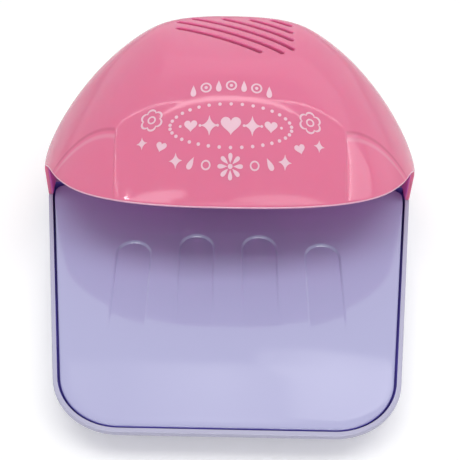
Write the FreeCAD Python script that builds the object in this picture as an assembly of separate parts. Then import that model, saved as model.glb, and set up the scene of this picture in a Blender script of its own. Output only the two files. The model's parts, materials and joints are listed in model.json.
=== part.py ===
import FreeCAD, Part
import math
import os

# Nail polish fan dryer: a tray with a hinged press plate, under a domed hood with a small
# electric fan.  Millimetres, +Z up, front of the dryer towards -Y.  The origin is on the
# ground under the middle of the dryer.

V = FreeCAD.Vector

# ---------------------------------------------------------------- driving sizes
# Plan of the tray
HALF_WIDTH = 72.5       # at the waist, where the hood's sides stand
FRONT_Y = -80.9         # front edge of the rim
WAIST_Y = 30.2          # tapered sides in front of it, rounded rear behind it
REAR_LENGTH = 50.0      # from the waist to the rear edge
SIDE_TAPER = 0.145      # each side closes in by this much per mm towards the front
TAPER_BLEND = 2.0       # softness of the turn from taper to rear
CORNER_R = 24.4         # front corners
REAR_POWER = 2.28       # squareness of the rear
# Tray
FOOT_H = 1.5            # rubber feet below the tray
RIM_Z = 15.0            # top of the rim
BASE_WALL = 1.4
FLOOR_T = 1.8
REAR_EASE = 0.8         # how much steeper the rear walls are than the front ones
DECK_T = 1.6
BULKHEAD_T = 1.8
# Press plate
PLATE_GAP = 1.1         # gap between rim and plate
RIM_W = 1.65            # width of the rim's top
PLATE_T = 2.0
PLATE_REAR_Y = 34.2
PLATE_CORNER_R = 3.5
DISH_MARGIN = 4.2       # flat border round the dish
DISH_RUN = 3.0          # width of the dish's sloping edge
DISH_DEPTH = 0.8
STEP_Y = 20.2           # the border drops a little behind this line
STEP_DROP = 0.35
GROOVE_PITCH = 24.0
GROOVE_COUNT = 4
GROOVE_HALF = 6.87
GROOVE_DEPTH = 1.1      # at the round rear end; the floor rises to nothing in front
GROOVE_DRAFT = 0.6      # how much narrower the floor is on each side
GROOVE_REAR = 1.5       # rear end of the inner grooves' straight part
GROOVE_STEP = 3.9       # the outer grooves sit this much further forward
GROOVE_LENGTH = 37.0
RIB_H = 2.4             # height of the ribs under the plate
RIB_X = [-48.0, -24.0, 24.0, 48.0]# ribs under the plate, from front to rear
RIB_Y0 = -48.0
RIB_Y1 = 24.0
CLIP_X = 14.0           # clips that hold the plate's front edge down
CLIP_Y = -60.0
CLIP_Z = 7.9            # top of the barb
CLIP_H = 1.6
CLIP_W = 7.0
CLIP_T = 1.3
CLIP_REACH = 1.6
CLIP_GAP = 0.5
STOP_Y = -44.0          # wall on the floor that stops the pressed plate
STOP_HALF = 22.0
PRESS_ANGLE = 0.8       # travel of the plate, degrees
HINGE_Y = 30.6
HINGE_X = 44.0          # middle of each hinge eye
EYE_W = 5.0
EYE_R = 3.4
LUG_T = 3.0
LUG_R = 2.4
PIN_R = 1.25
RUN_FIT = 0.06          # radial clearance of the turning joints
SIDE_GAP = 0.4          # clearance beside moving parts
# Hood
HOOD_WALL = 2.0
DOME_START = 15.6       # vertical walls below, dome above; these heights are above the rim
DOME_REACH = 67.7       # height that the plain dome would reach
DOME_RISE_POWER = 1.2
DOME_ROUND_POWER = 1.98
DOME_LEAN = 0.45        # the dome's centre moves back by this much per mm of height
DOME_FRONT = 58.0       # from the waist to the front of the dome
DOME_FRONT_POWER = 2.6
CROWN_H = 63.2          # flattened crown
CROWN_Y = 30.7          # the crown falls away behind this line
CROWN_FALL = 0.004
CROWN_SOFT = 1.1        # softness of the crown's edge
TIP_Y = 28.3            # front edge of the side walls
LIP_LINE = [(28.3, 16.3), (21.4, 21.4), (10.9, 25.6), (0.4, 29.2), (-10.6, 33.7), (-34.0, 44.0)]
RIB_T = 1.4             # ribs of the hood, the plate and the tray
RIB_DROP = 4.0          # the hood's ribs start this much above the rim
TONGUE_T = 1.0          # tongue of the tray inside the hood's rear wall
TONGUE_H = 2.0
TONGUE_START = 12.0     # the tongue starts this far behind the baffle
# Vent slots over the crown
SLOT_W = 1.8
SLOT_PITCH = 6.15       # along Y
SLOT_COUNT = 6
SLOT_FIRST = 48.4       # where the first slot crosses the middle
SLOT_SLOPE = -0.62      # run of the slots in plan, and how much they bow
SLOT_BOW = 0.0055
SLOT_X = (-20.2, 22.2)  # the slots keep inside these limits
SLOT_Y = (41.0, 68.8)
SLOT_STEPS = 24         # points along the full run of a slot
# Outlet baffle and fan
BAFFLE_Y = 38.2         # foot of the baffle, front face
BAFFLE_TILT = 25.0      # leans forward, degrees from upright
BAFFLE_T = 2.0
BAFFLE_SCREW_X = [-38.0, 38.0]# screws of the baffle's seat
FIT = 0.3               # clearance between pieces that are slid together
FAN_UP = 27.5           # fan axis above the baffle's foot, along the baffle
DUCT_R = 22.2
DUCT_WALL = 1.6
DUCT_L = 15.0
TIP_GAP = 1.0
HUB_R = 6.5
HUB_L = 9.0
BLADE_COUNT = 7
BLADE_T = 1.3
FAN_FRONT = 4.6         # impeller front face behind the baffle's front face
GRILLE_BAR = 1.5
GRILLE_RINGS = 4
GRILLE_SPOKES = 6
MOUNT_T = 2.4
EAR_ANGLES = [30.0, 150.0, 270.0]# screw ears round the motor mount
EAR_R = 2.8
EAR_L = 9.0
ARM_W = 5.0             # arms from the motor to the duct
MOTOR_R = 12.1
MOTOR_L = 12.3
CAP_T = 1.6             # end cap of the motor
TERMINAL_X = 6.0        # motor terminals
TERMINAL_L = 4.0
SHAFT_R = 1.0
BUSH_R = 3.0
BUSH_L = 1.4
CUP_T = 1.4
CUP_L = 6.0
# Cells, contacts and door
CELL_R = 7.1
CELL_L = 49.2
NUB_R = 2.6
NUB_L = 1.2
CELL_PITCH = 15.0
CELL_GAP = 0.4
BAY_WALL = 1.5
BAY_CORNER_R = 3.5
SPRING_ROOM = 5.2
CONTACT_T = 0.5
CONTACT_HALF = 3.8      # half width of a contact plate, clear of the bay's round corners
DOOR_T = 1.7
DOOR_LEDGE = 2.2
DOOR_GAP = 0.35
DOOR_SWING = 0.75       # more gap at the hinged edge, whose corner swings out in an arc
DOOR_PIN_R = 1.0
DOOR_EYE_R = 2.1
TAB_W = 12.0            # the door's tab with its screw
TAB_L = 7.0
DOOR_SCREW_Y = 54.0
DOOR_SCREW_L = 5.0
DOOR_SCREW_HOLE = 1.65  # loose, so that the held screw can swing out with the door
DOOR_EYE_L = 6.0
DOOR_EYES = [45.0, 62.0]# middle of each hinge eye along the pin
DOOR_GRIPS = [50.0, 52.0, 54.0, 56.0, 58.0]# finger grips across the door
RAIL_W = 6.6            # block that carries the door's pin
RAIL_Z = 7.4
SEAT_L = 7.0            # from the baffle's foot to the screws of its seat
# Fasteners, springs and feet
BOSS_R = 3.6
SCREW_R = 1.25
SCREW_GRIP = 6.0
HEAD_R = 2.5
HEAD_H = 1.8
HEAD_GAP = 0.3
SCREW_Z = 8.0           # seat of the housing screws' heads
HOUSING_SCREWS = [(50.0, 46.5), (-50.0, 46.5), (41.0, 66.0), (-41.0, 66.0)]
SMALL_SCREW_R = 1.0
SMALL_HEAD_R = 1.9
SMALL_HEAD_H = 1.2
SPRING_R = 3.2
WIRE_R = 0.4
SPRING_TURNS = 4
RETURN_SPRINGS = [(30.0, -52.0), (-30.0, -52.0)]
SPRING_POST_Z = 7.0     # top of the posts inside the return springs
FEET = [(29.0, -46.0), (-29.0, -46.0), (51.0, 54.0), (-51.0, 54.0)]
FOOT_R = 4.5
FOOT_SINK = 0.8
# Switch
SWITCH_Y = -18.0
LEAF_W = 5.0
LEAF_T = 0.3
LEAF_L = 22.0
LEAF_GAP = 1.0          # between the two leaves at their clamp
PLUNGER_HALF = 3.0      # rib of the plate that pushes the sprung leaf
LEAF_Z = 6.2            # top of the fixed leaf
LEAF_TOP = 8.3          # top of the sprung leaf's tip
CONTACT_H = 1.3         # contact on the fixed leaf
# Wires
LEAD_R = 0.7            # insulated wires
LEAD_X = 32.6           # where the battery leads pass the bulkhead
LEAD_Z = 8.6

# ---------------------------------------------------------------- sizes that follow
BOTTOM_Z = FOOT_H
DOME_Z0 = RIM_Z + DOME_START
DOME_TOP = RIM_Z + DOME_REACH
CROWN_Z = RIM_Z + CROWN_H
LIP = [(y, RIM_Z + z) for y, z in LIP_LINE]
FLOOR_Z = BOTTOM_Z + FLOOR_T
PLATE_INSET = RIM_W + PLATE_GAP
DISH_Z = RIM_Z - DISH_DEPTH
PLATE_UNDER = DISH_Z - PLATE_T
HINGE_Z = PLATE_UNDER - EYE_R
BULKHEAD_Y = PLATE_REAR_Y + 3 * SIDE_GAP + FIT
FAN_R = DUCT_R - TIP_GAP
TILT = math.radians(BAFFLE_TILT)
FAN_ORIGIN = V(0, BAFFLE_Y - FAN_UP * math.sin(TILT), RIM_Z + FAN_UP * math.cos(TILT))
# local +Z of the fan parts points back along the fan's axis
FAN = FreeCAD.Placement(FAN_ORIGIN, FreeCAD.Rotation(V(1, 0, 0), BAFFLE_TILT - 90))
MOUNT_Z = BAFFLE_T + DUCT_L
MOTOR_Z = MOUNT_Z + MOUNT_T
BAY_Y0 = BAFFLE_Y + BAFFLE_T / math.cos(math.radians(BAFFLE_TILT)) + FIT + BAY_WALL
BAY_Y1 = BAY_Y0 + 2 * CELL_R + CELL_PITCH + 2 * CELL_GAP
CELL_Y = [BAY_Y0 + CELL_GAP + CELL_R, BAY_Y0 + CELL_GAP + CELL_R + CELL_PITCH]
BAY_HALF = (CELL_L + NUB_L + SPRING_ROOM) / 2 + CONTACT_T
CELL_Z = BOTTOM_Z + DOOR_T + CELL_GAP + CELL_R
BAY_TOP = CELL_Z + CELL_R + CELL_GAP
SCREW_TOP = RIM_Z + SCREW_GRIP
HINGE_REACH = EYE_W / 2 + SIDE_GAP + LUG_T
LEAF_TIP_Y = SWITCH_Y - LEAF_L / 2
LEAF_CLAMP_Y = SWITCH_Y + LEAF_L / 2
TAB_TOP = BAY_TOP + BAY_WALL + 2.6
SOLDER_TABS = [(BAY_HALF - CONTACT_T / 2, y, 1.5) for y in CELL_Y]
BAFFLE_SCREW_Y = BAFFLE_Y + SEAT_L
DOOR_AXIS_X = -BAY_HALF - DOOR_LEDGE - DOOR_EYE_R
DOOR_AXIS_Z = BOTTOM_Z + DOOR_EYE_R
DOOR_X0 = DOOR_AXIS_X + DOOR_EYE_R
DOOR_X1 = BAY_HALF + DOOR_LEDGE
DOOR_Y0 = BAY_Y0 - DOOR_LEDGE
DOOR_Y1 = BAY_Y1 + 0.8
DOOR_PIN_Y0 = BAY_Y0 - 0.5
DOOR_PIN_Y1 = BAY_Y1 - 1
DOOR_SCREW_X = BAY_HALF + DOOR_LEDGE + TAB_L - 3
DOOR_SCREW_TOP = BOTTOM_Z + SMALL_HEAD_H + DOOR_SCREW_L + 0.6


# ---------------------------------------------------------------- helpers
def box(x0, x1, y0, y1, z0, z1):
    return Part.makeBox(x1 - x0, y1 - y0, z1 - z0, V(x0, y0, z0))


def rod(radius, x, y, z0, z1):
    return Part.makeCylinder(radius, z1 - z0, V(x, y, z0))


def rod_x(radius, x0, x1, y, z):
    return Part.makeCylinder(radius, x1 - x0, V(x0, y, z), V(1, 0, 0))


def rod_y(radius, y0, y1, x, z):
    return Part.makeCylinder(radius, y1 - y0, V(x, y0, z), V(0, 1, 0))


def fused(shapes):
    return shapes[0].multiFuse(shapes[1:]).removeSplitter()


def placed(shape, placement):
    moved = shape.copy()
    moved.Placement = placement.multiply(moved.Placement)
    return moved


def spline(points):
    curve = Part.BSplineCurve()
    curve.interpolate(points)
    return curve.toShape()


def spline_wire(points):
    curve = Part.BSplineCurve()
    curve.interpolate(Points=points, PeriodicFlag=True)
    return Part.Wire(curve.toShape())


def side_profile(points, x0, x1):
    """Prism along X from a closed list of (y, z) corners."""
    corners = [V(x0, y, z) for y, z in points]
    face = Part.Face(Part.makePolygon(corners + corners[:1]))
    return face.extrude(V(x1 - x0, 0, 0))


def coil(radius, height, turns, wire, x, y, z, top_radius=None):
    """Open coil spring standing on z, its eight-sided wire inside the given height."""
    cone = 0.0
    if top_radius is not None:
        cone = math.degrees(math.atan((top_radius - radius) / (height - 2 * wire)))
    rise = height - 2 * wire
    path = Part.makeHelix(rise / turns, rise, radius, cone)
    angles = [math.pi * k / 4 for k in range(9)]
    start = Part.makePolygon([V(radius + wire * math.cos(a), 0, wire * math.sin(a)) for a in angles])
    spring = Part.Wire(path.Edges).makePipeShell([start], True, True)
    spring.translate(V(x, y, z + wire))
    return spring


def tube(points, radius):
    """Round wire along straight runs joined by tangent arcs as large as the runs allow."""
    edges = []
    start = points[0]
    for before, corner, after in zip(points, points[1:], points[2:]):
        back = (before - corner).normalize()
        on = (after - corner).normalize()
        reach = 0.45 * min((before - corner).Length, (after - corner).Length)
        a = corner + back * reach
        b = corner + on * reach
        half = back.getAngle(on) / 2
        bend = reach * math.tan(half)
        middle = corner + (back + on).normalize() * (reach / math.cos(half) - bend)
        edges.append(Part.LineSegment(start, a).toShape())
        edges.append(Part.Arc(a, middle, b).toShape())
        start = b
    edges.append(Part.LineSegment(start, points[-1]).toShape())
    path = Part.Wire(edges)
    ring = Part.Wire(Part.makeCircle(radius, points[0], points[1] - points[0]))
    return path.makePipeShell([ring], True, False)


# ---------------------------------------------------------------- plan of the tray
def rear_arc(width, length, z):
    """Rounded rear, from the right end of the waist round to the left end."""
    points = []
    steps = 20
    for k in range(steps + 1):
        a = math.pi * k / steps
        c, s = math.cos(a), max(math.sin(a), 0.0)
        x = width * math.copysign(abs(c) ** (2 / REAR_POWER), c)
        points.append(V(x, WAIST_Y + length * s ** (2 / REAR_POWER), z))
    curve = Part.BSplineCurve()
    curve.interpolate(points)
    return curve.toShape()


def plan_ring(z, front, rear=None):
    """Outline of the tray moved inward, by one inset in front and another from the waist on."""
    rear = front if rear is None else rear
    lean = math.atan(SIDE_TAPER)
    cy = FRONT_Y + CORNER_R
    reach = WAIST_Y - TAPER_BLEND - cy
    cx = HALF_WIDTH - SIDE_TAPER * reach - CORNER_R / math.cos(lean)
    radius = CORNER_R - front
    knee = V(HALF_WIDTH - rear, WAIST_Y - TAPER_BLEND, z)
    arm = knee - V(cx, cy, z)
    turn = math.atan2(arm.y, arm.x) - math.acos(radius / arm.Length)
    half = (turn - math.pi / 2) / 2
    touch = V(cx + radius * math.cos(turn), cy + radius * math.sin(turn), z)
    middle = V(cx + radius * math.cos(half), cy + radius * math.sin(half), z)
    corner = V(cx, cy - radius, z)
    on = (knee - touch).normalize()
    a, b = knee - on * TAPER_BLEND, V(knee.x, WAIST_Y, z)
    turned = math.atan2(-on.x, on.y)
    bend = knee + ((a + b) / 2 - knee) / (2 * math.cos(turned / 4) ** 2)

    def flipped(p):
        return V(-p.x, p.y, p.z)

    edges = [Part.LineSegment(flipped(corner), corner).toShape(),
             Part.Arc(corner, middle, touch).toShape(),
             Part.LineSegment(touch, a).toShape(),
             Part.Arc(a, bend, b).toShape(),
             rear_arc(knee.x, REAR_LENGTH - rear, z),
             Part.Arc(flipped(b), flipped(bend), flipped(a)).toShape(),
             Part.LineSegment(flipped(a), flipped(touch)).toShape(),
             Part.Arc(flipped(touch), flipped(middle), flipped(corner)).toShape()]
    return Part.Wire(edges)


def plan_band(inset0, inset1, z0, z1):
    """Upright band between two insets of the outline."""
    rings = [plan_ring(z0, inset0), plan_ring(z0, inset1)]
    return Part.makeFace(rings, "Part::FaceMakerBullseye").extrude(V(0, 0, z1 - z0))


# Side view of the tray's wall, (drop below the rim, inset): a short upright rim that
# rolls under like a hull
HULL = [(0.0, 0.45), (0.2, 0.18), (0.6, 0.03), (1.2, 0.0), (2.0, 0.14), (3.0, 0.65),
        (4.2, 1.55), (5.6, 2.85), (7.2, 4.45), (8.8, 6.2), (10.3, 8.0), (11.6, 9.9),
        (12.5, 11.6), (13.1, 13.2), (RIM_Z - BOTTOM_Z, 15.2)]


def hull_outside():
    rings = [plan_ring(RIM_Z - drop, inset, inset * (1 - REAR_EASE)) for drop, inset in HULL]
    return Part.makeLoft(rings, True, True)


def hull_inside(wall, rim_wall):
    """The hull moved inward by the wall, measured square to its profile."""
    rings = [plan_ring(RIM_Z + 1, rim_wall), plan_ring(RIM_Z - 0.5, rim_wall)]
    for before, (drop, inset), after in zip(HULL[2:-2:2], HULL[4::2], HULL[6::2]):
        run = math.hypot(after[0] - before[0], after[1] - before[1])
        up = wall * (after[1] - before[1]) / run
        side = wall * (after[0] - before[0]) / run
        rings.append(plan_ring(RIM_Z - drop + up, inset + side,
                               inset * (1 - REAR_EASE) + side))
    last = HULL[-1][1]
    rings.append(plan_ring(BOTTOM_Z, last + wall, last * (1 - REAR_EASE) + wall))
    return Part.makeLoft(rings, True, True)


# ---------------------------------------------------------------- hood surface
def soft_min(a, b, softness):
    low, high = min(a, b), max(a, b)
    return low - softness * math.log1p(math.exp((low - high) / softness))


def hood_ring(height, wall):
    """One contour of the hood; contours near the top are pressed down onto the crown."""
    top = DOME_TOP - wall
    t = min(max((height - DOME_Z0) / (top - DOME_Z0), 0.0), 1.0)
    share = (1 - t ** DOME_RISE_POWER) ** (1 / DOME_ROUND_POWER)
    centre = WAIST_Y + DOME_LEAN * max(height - DOME_Z0, 0.0)
    points = []
    steps = 36
    for k in range(steps):
        a = 2 * math.pi * k / steps - math.pi / 2
        c, s = math.cos(a), math.sin(a)
        if s > 0:
            power, reach = REAR_POWER, REAR_LENGTH - wall
        else:
            power, reach = DOME_FRONT_POWER, DOME_FRONT - wall
        x = (HALF_WIDTH - wall) * share * math.copysign(abs(c) ** (2 / power), c)
        y = centre + reach * share * math.copysign(abs(s) ** (2 / power), s)
        crown = CROWN_Z - wall - CROWN_FALL * max(y - CROWN_Y, 0.0) ** 2
        points.append(V(x, y, soft_min(height, crown, CROWN_SOFT)))
    return points


def hood_solid(wall, foot):
    """Upright walls from the foot up, and the dome lofted over them."""
    top = DOME_TOP - wall
    heights = [DOME_Z0 + (top - DOME_Z0) * t for t in
               (0.0, 0.07, 0.16, 0.27, 0.39, 0.51, 0.62, 0.72, 0.8, 0.87, 0.93, 0.97)]
    rings = [hood_ring(h, wall) for h in heights]
    foot_ring = [V(p.x, p.y, foot) for p in rings[0]]
    wires = [spline_wire(r) for r in [foot_ring] + rings]
    walls = Part.makeLoft(wires[:2], False, True)
    dome = Part.makeLoft(wires[1:], False, False)
    caps = [Part.Face(wires[0]), Part.makeFilledFace(wires[-1].Edges)]
    shell = Part.makeShell(walls.Faces + dome.Faces + caps)
    shell.sewShape()
    return Part.Solid(shell)


# ---------------------------------------------------------------- hood shell
def lip_cutter():
    """Everything in front of the side walls and below the lip."""
    x0 = -HALF_WIDTH - 10
    lip = Part.BSplineCurve()
    lip.interpolate([V(x0, y, z) for y, z in LIP])
    corners = [V(x0, y, z) for y, z in
               (LIP[-1], (2 * FRONT_Y, LIP[-1][1]), (2 * FRONT_Y, RIM_Z - 5),
                (TIP_Y, RIM_Z - 5), LIP[0])]
    edges = [lip.toShape()] + Part.makePolygon(corners).Edges
    face = Part.Face(Part.Wire(Part.__sortEdges__(edges)))
    return face.extrude(V(-2 * x0, 0, 0))


def slot_cutter(k):
    """Bowed slot with round ends, clipped to the vented part of the crown."""
    z = CROWN_Z - 20
    line = []
    for i in range(SLOT_STEPS + 1):
        x = SLOT_X[0] + (SLOT_X[1] - SLOT_X[0]) * i / SLOT_STEPS
        y = SLOT_FIRST + k * SLOT_PITCH + SLOT_SLOPE * x - SLOT_BOW * x * x
        if SLOT_Y[0] <= y <= SLOT_Y[1]:
            along = V(1, SLOT_SLOPE - 2 * SLOT_BOW * x, 0).normalize() * (SLOT_W / 2)
            line.append((V(x, y, z), along, V(-along.y, along.x, 0)))
    (a, a_on, a_side), (b, b_on, b_side) = line[0], line[-1]
    edges = [spline([p + side for p, on, side in line]),
             Part.Arc(b + b_side, b + b_on, b - b_side).toShape(),
             spline([p - side for p, on, side in line]),
             Part.Arc(a - a_side, a - a_on, a + a_side).toShape()]
    return Part.Face(Part.Wire(Part.__sortEdges__(edges))).extrude(V(0, 0, 30))


def hood_bosses():
    parts = []
    for x, y in HOUSING_SCREWS:
        parts.append(rod(BOSS_R, x, y, RIM_Z, CROWN_Z))
        if y < WAIST_Y + REAR_LENGTH / 2:
            reach = math.copysign(HALF_WIDTH, x)
            parts.append(box(min(x, reach), max(x, reach), y - RIB_T / 2, y + RIB_T / 2,
                             RIM_Z + RIB_DROP, CROWN_Z))
        else:
            parts.append(box(x - RIB_T / 2, x + RIB_T / 2, y, WAIST_Y + REAR_LENGTH,
                             RIM_Z + RIB_DROP, CROWN_Z))
    return fused(parts).common(hood_solid(HOOD_WALL / 2, RIM_Z))


hood = hood_solid(0.0, RIM_Z).cut(hood_solid(HOOD_WALL, RIM_Z - 1)).cut(lip_cutter())
hood = hood.fuse(hood_bosses())
hood = hood.cut(Part.makeCompound([slot_cutter(k) for k in range(SLOT_COUNT)]))
for x, y in HOUSING_SCREWS:
    hood = hood.cut(rod(SCREW_R, x, y, RIM_Z - 1, SCREW_TOP + 1))

# ---------------------------------------------------------------- press plate
plate_side = HALF_WIDTH - PLATE_INSET
plate_trim = box(-plate_side, plate_side, 2 * FRONT_Y, PLATE_REAR_Y, 0, 2 * RIM_Z)
rear_corners = [e for e in plate_trim.Edges
                if abs(e.CenterOfMass.y - PLATE_REAR_Y) < 0.01 and abs(e.tangentAt(0).z) > 0.9]
plate_trim = plate_trim.makeFillet(PLATE_CORNER_R, rear_corners)
PLATE_EDGE = [(PLATE_UNDER, 2.6), (RIM_Z - 1.7, 0.3), (RIM_Z - 0.8, 0.0),
              (RIM_Z - 0.4, 0.1), (RIM_Z - 0.12, 0.35), (RIM_Z, 0.75)]


def drop_at(y):
    """How far the pressed plate goes down at this distance from the hinge."""
    return (HINGE_Y - y) * math.sin(math.radians(PRESS_ANGLE))


def groove_outline(x, y, half, z):
    """Outline of a groove at one height: straight sides and a round rear end."""
    front = y - GROOVE_LENGTH
    left, right, tip = V(x - half, y, z), V(x + half, y, z), V(x, y + half, z)
    sides = Part.makePolygon([left, V(left.x, front, z), V(right.x, front, z), right])
    return Part.Wire(sides.Edges + [Part.Arc(right, tip, left).toShape()])


def groove(k):
    """Finger groove: sloping walls, and a floor that comes up to the dish in front."""
    x = (k - (GROOVE_COUNT - 1) / 2) * GROOVE_PITCH
    y = GROOVE_REAR - (GROOVE_STEP if k in (0, GROOVE_COUNT - 1) else 0.0)
    top, bottom = DISH_Z + GROOVE_DEPTH, DISH_Z - GROOVE_DEPTH
    walls = Part.makeLoft([groove_outline(x, y, GROOVE_HALF - GROOVE_DRAFT, bottom),
                           groove_outline(x, y, GROOVE_HALF + GROOVE_DRAFT, top)], True, True)
    rear, front = y + GROOVE_HALF, y - GROOVE_LENGTH
    floor = [(rear + 1, bottom), (rear, bottom), (front, DISH_Z), (front, top), (rear + 1, top)]
    return walls.common(side_profile(floor, x - 2 * GROOVE_HALF, x + 2 * GROOVE_HALF))


def plate_hinge_arm(x):
    block = box(x - EYE_W / 2, x + EYE_W / 2, HINGE_Y - EYE_R, HINGE_Y + EYE_R, HINGE_Z,
                PLATE_UNDER + 0.5)
    eye = rod_x(EYE_R, x - EYE_W / 2, x + EYE_W / 2, HINGE_Y, HINGE_Z)
    return block.fuse(eye)


def plate_clip(x):
    """Leg whose barb catches under the tray's hook and stops the plate going up."""
    y, foot = CLIP_Y, CLIP_Z - CLIP_H
    profile = [(y - CLIP_T, PLATE_UNDER + 0.5), (y - CLIP_T, foot), (y, foot),
               (y + CLIP_REACH, foot + CLIP_H / 2), (y + CLIP_REACH, CLIP_Z), (y, CLIP_Z),
               (y, PLATE_UNDER + 0.5)]
    return side_profile(profile, x - CLIP_W / 2, x + CLIP_W / 2)


rings = [plan_ring(z, PLATE_INSET + roll) for z, roll in PLATE_EDGE]
plate = Part.makeLoft(rings, True, True).common(plate_trim)
under = [box(x - RIB_T / 2, x + RIB_T / 2, RIB_Y0, RIB_Y1, PLATE_UNDER - RIB_H,
              PLATE_UNDER + 0.5) for x in RIB_X]
under += [plate_hinge_arm(x) for x in (-HINGE_X, HINGE_X)]
under += [plate_clip(x) for x in (-CLIP_X, CLIP_X)]
under.append(box(-PLUNGER_HALF, PLUNGER_HALF, LEAF_TIP_Y + 1, LEAF_TIP_Y + 4,
                 LEAF_TOP + FIT, PLATE_UNDER + 0.5))
plate = fused([plate] + under)
dish = Part.makeLoft([plan_ring(RIM_Z + 0.02, PLATE_INSET + DISH_MARGIN),
                      plan_ring(DISH_Z, PLATE_INSET + DISH_MARGIN + DISH_RUN)], True, True)
dish = dish.common(box(-80, 80, -80, PLATE_REAR_Y - DISH_MARGIN, 0, 2 * RIM_Z))
plate = plate.cut(dish)
plate = plate.cut(box(-80, 80, STEP_Y, 80, RIM_Z - STEP_DROP, RIM_Z + 1))
for k in range(GROOVE_COUNT):
    plate = plate.cut(groove(k))
plate = plate.cut(rod_x(PIN_R + RUN_FIT, -80, 80, HINGE_Y, HINGE_Z))

# ---------------------------------------------------------------- tray
def hinge_lugs(x):
    lugs = []
    for side in (-1, 1):
        near = x + side * (EYE_W / 2 + SIDE_GAP)
        far = near + side * LUG_T
        x0, x1 = min(near, far), max(near, far)
        lugs.append(box(x0, x1, HINGE_Y - LUG_R, HINGE_Y + LUG_R, FLOOR_Z - 1, HINGE_Z))
        lugs.append(rod_x(LUG_R, x0, x1, HINGE_Y, HINGE_Z))
    return lugs


def clip_hook(x):
    """Post with a ledge over the plate's barb."""
    ledge = CLIP_Y + SIDE_GAP
    post = CLIP_Y + CLIP_REACH + CLIP_GAP
    z = CLIP_Z + FIT
    profile = [(post + CLIP_T, FLOOR_Z - 1), (post + CLIP_T, z + CLIP_T), (ledge, z + CLIP_T),
               (ledge, z), (post, z), (post, FLOOR_Z - 1)]
    return side_profile(profile, x - CLIP_W / 2, x + CLIP_W / 2)


inside = hull_inside(BASE_WALL, RIM_W).cut(box(-80, 80, -90, 90, 0, FLOOR_Z))
outside = hull_outside()
tray = outside.cut(inside)
bay_x = BAY_HALF + BAY_WALL
fill = [box(-80, 80, BULKHEAD_Y, BULKHEAD_Y + BULKHEAD_T, FLOOR_Z - 1, RIM_Z),
        box(-80, 80, BULKHEAD_Y, BAFFLE_SCREW_Y + 4, RIM_Z - DECK_T, RIM_Z),
        box(-bay_x, bay_x, BULKHEAD_Y + 1, BAY_Y1 + BAY_WALL, FLOOR_Z - 1, RIM_Z),
        box(-bay_x - RAIL_W, -bay_x + 0.5, BULKHEAD_Y + 1, BAY_Y1 + BAY_WALL, FLOOR_Z - 1, RAIL_Z),
        box(bay_x - 0.5, bay_x + TAB_L + 2.5, DOOR_SCREW_Y - TAB_W / 2 - 2,
            DOOR_SCREW_Y + TAB_W / 2 + 2, FLOOR_Z - 1, FLOOR_Z + FLOOR_T),
        box(bay_x - 0.5, bay_x + 2.5, BULKHEAD_Y + 1, BAY_Y1 + BAY_WALL, FLOOR_Z - 1,
            FLOOR_Z + FLOOR_T),
        rod(BOSS_R - 1, DOOR_SCREW_X, DOOR_SCREW_Y, FLOOR_Z, DOOR_SCREW_TOP + 1),
        box(-STOP_HALF, STOP_HALF, STOP_Y - RIB_T / 2, STOP_Y + RIB_T / 2, FLOOR_Z - 1,
            PLATE_UNDER - drop_at(STOP_Y) - FIT - 0.1)]
fill += [rod(BOSS_R, x, y, FLOOR_Z - 1, RIM_Z) for x, y in HOUSING_SCREWS]
fill += [rod(BOSS_R - 0.6, x, BAFFLE_SCREW_Y, RIM_Z - 7, RIM_Z) for x in BAFFLE_SCREW_X]
fill += [rod(SPRING_R - WIRE_R - FIT, x, y, FLOOR_Z - 1, SPRING_POST_Z) for x, y in RETURN_SPRINGS]
for x in (-HINGE_X, HINGE_X):
    fill += hinge_lugs(x)
fill += [clip_hook(x) for x in (-CLIP_X, CLIP_X)]
fill = fused(fill).common(hull_inside(BASE_WALL / 2, RIM_W / 2))
bay_top = box(-bay_x, bay_x, BAY_Y0 - BAY_WALL, BAY_Y1 + BAY_WALL, RIM_Z - 1, BAY_TOP + BAY_WALL)
behind = box(-HALF_WIDTH, HALF_WIDTH, BAFFLE_Y + TONGUE_START, WAIST_Y + REAR_LENGTH, 0, 2 * RIM_Z)
tongue_in = HOOD_WALL + FIT / 2
tongue = [plan_band(RIM_W - 0.1, tongue_in + TONGUE_T, RIM_Z - 4, RIM_Z).common(behind),
          plan_band(tongue_in, tongue_in + TONGUE_T, RIM_Z - 1, RIM_Z + TONGUE_H).common(behind)]
tray = fused([tray, fill, bay_top] + tongue)

bay = box(-BAY_HALF, BAY_HALF, BAY_Y0, BAY_Y1, 0, BAY_TOP)
bay_corners = [e for e in bay.Edges
               if abs(e.CenterOfMass.y - BAY_Y1) < 0.01 and abs(e.tangentAt(0).z) > 0.9]
bay = bay.makeFillet(BAY_CORNER_R, bay_corners)


def door_plan(x0, grow, z0, z1):
    """The door's outline: hinge edge on the left, rounded rear corners, a tab on the right."""
    body = box(x0 - grow, DOOR_X1 + grow, DOOR_Y0 - grow, DOOR_Y1 + grow, z0, z1)
    corners = [e for e in body.Edges
               if abs(e.CenterOfMass.y - DOOR_Y1 - grow) < 0.01 and abs(e.tangentAt(0).z) > 0.9]
    body = body.makeFillet(BAY_CORNER_R + 1, corners)
    tab = box(DOOR_X1 - 1, DOOR_X1 + TAB_L + grow, DOOR_SCREW_Y - TAB_W / 2 - grow,
              DOOR_SCREW_Y + TAB_W / 2 + grow, z0, z1)
    return body.fuse(tab)


def door_eye(y, grow, side):
    """Hinge eye of the door, or the pocket round it."""
    return rod_y(DOOR_EYE_R + grow, y - DOOR_EYE_L / 2 - side, y + DOOR_EYE_L / 2 + side,
                 DOOR_AXIS_X, DOOR_AXIS_Z)


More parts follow.
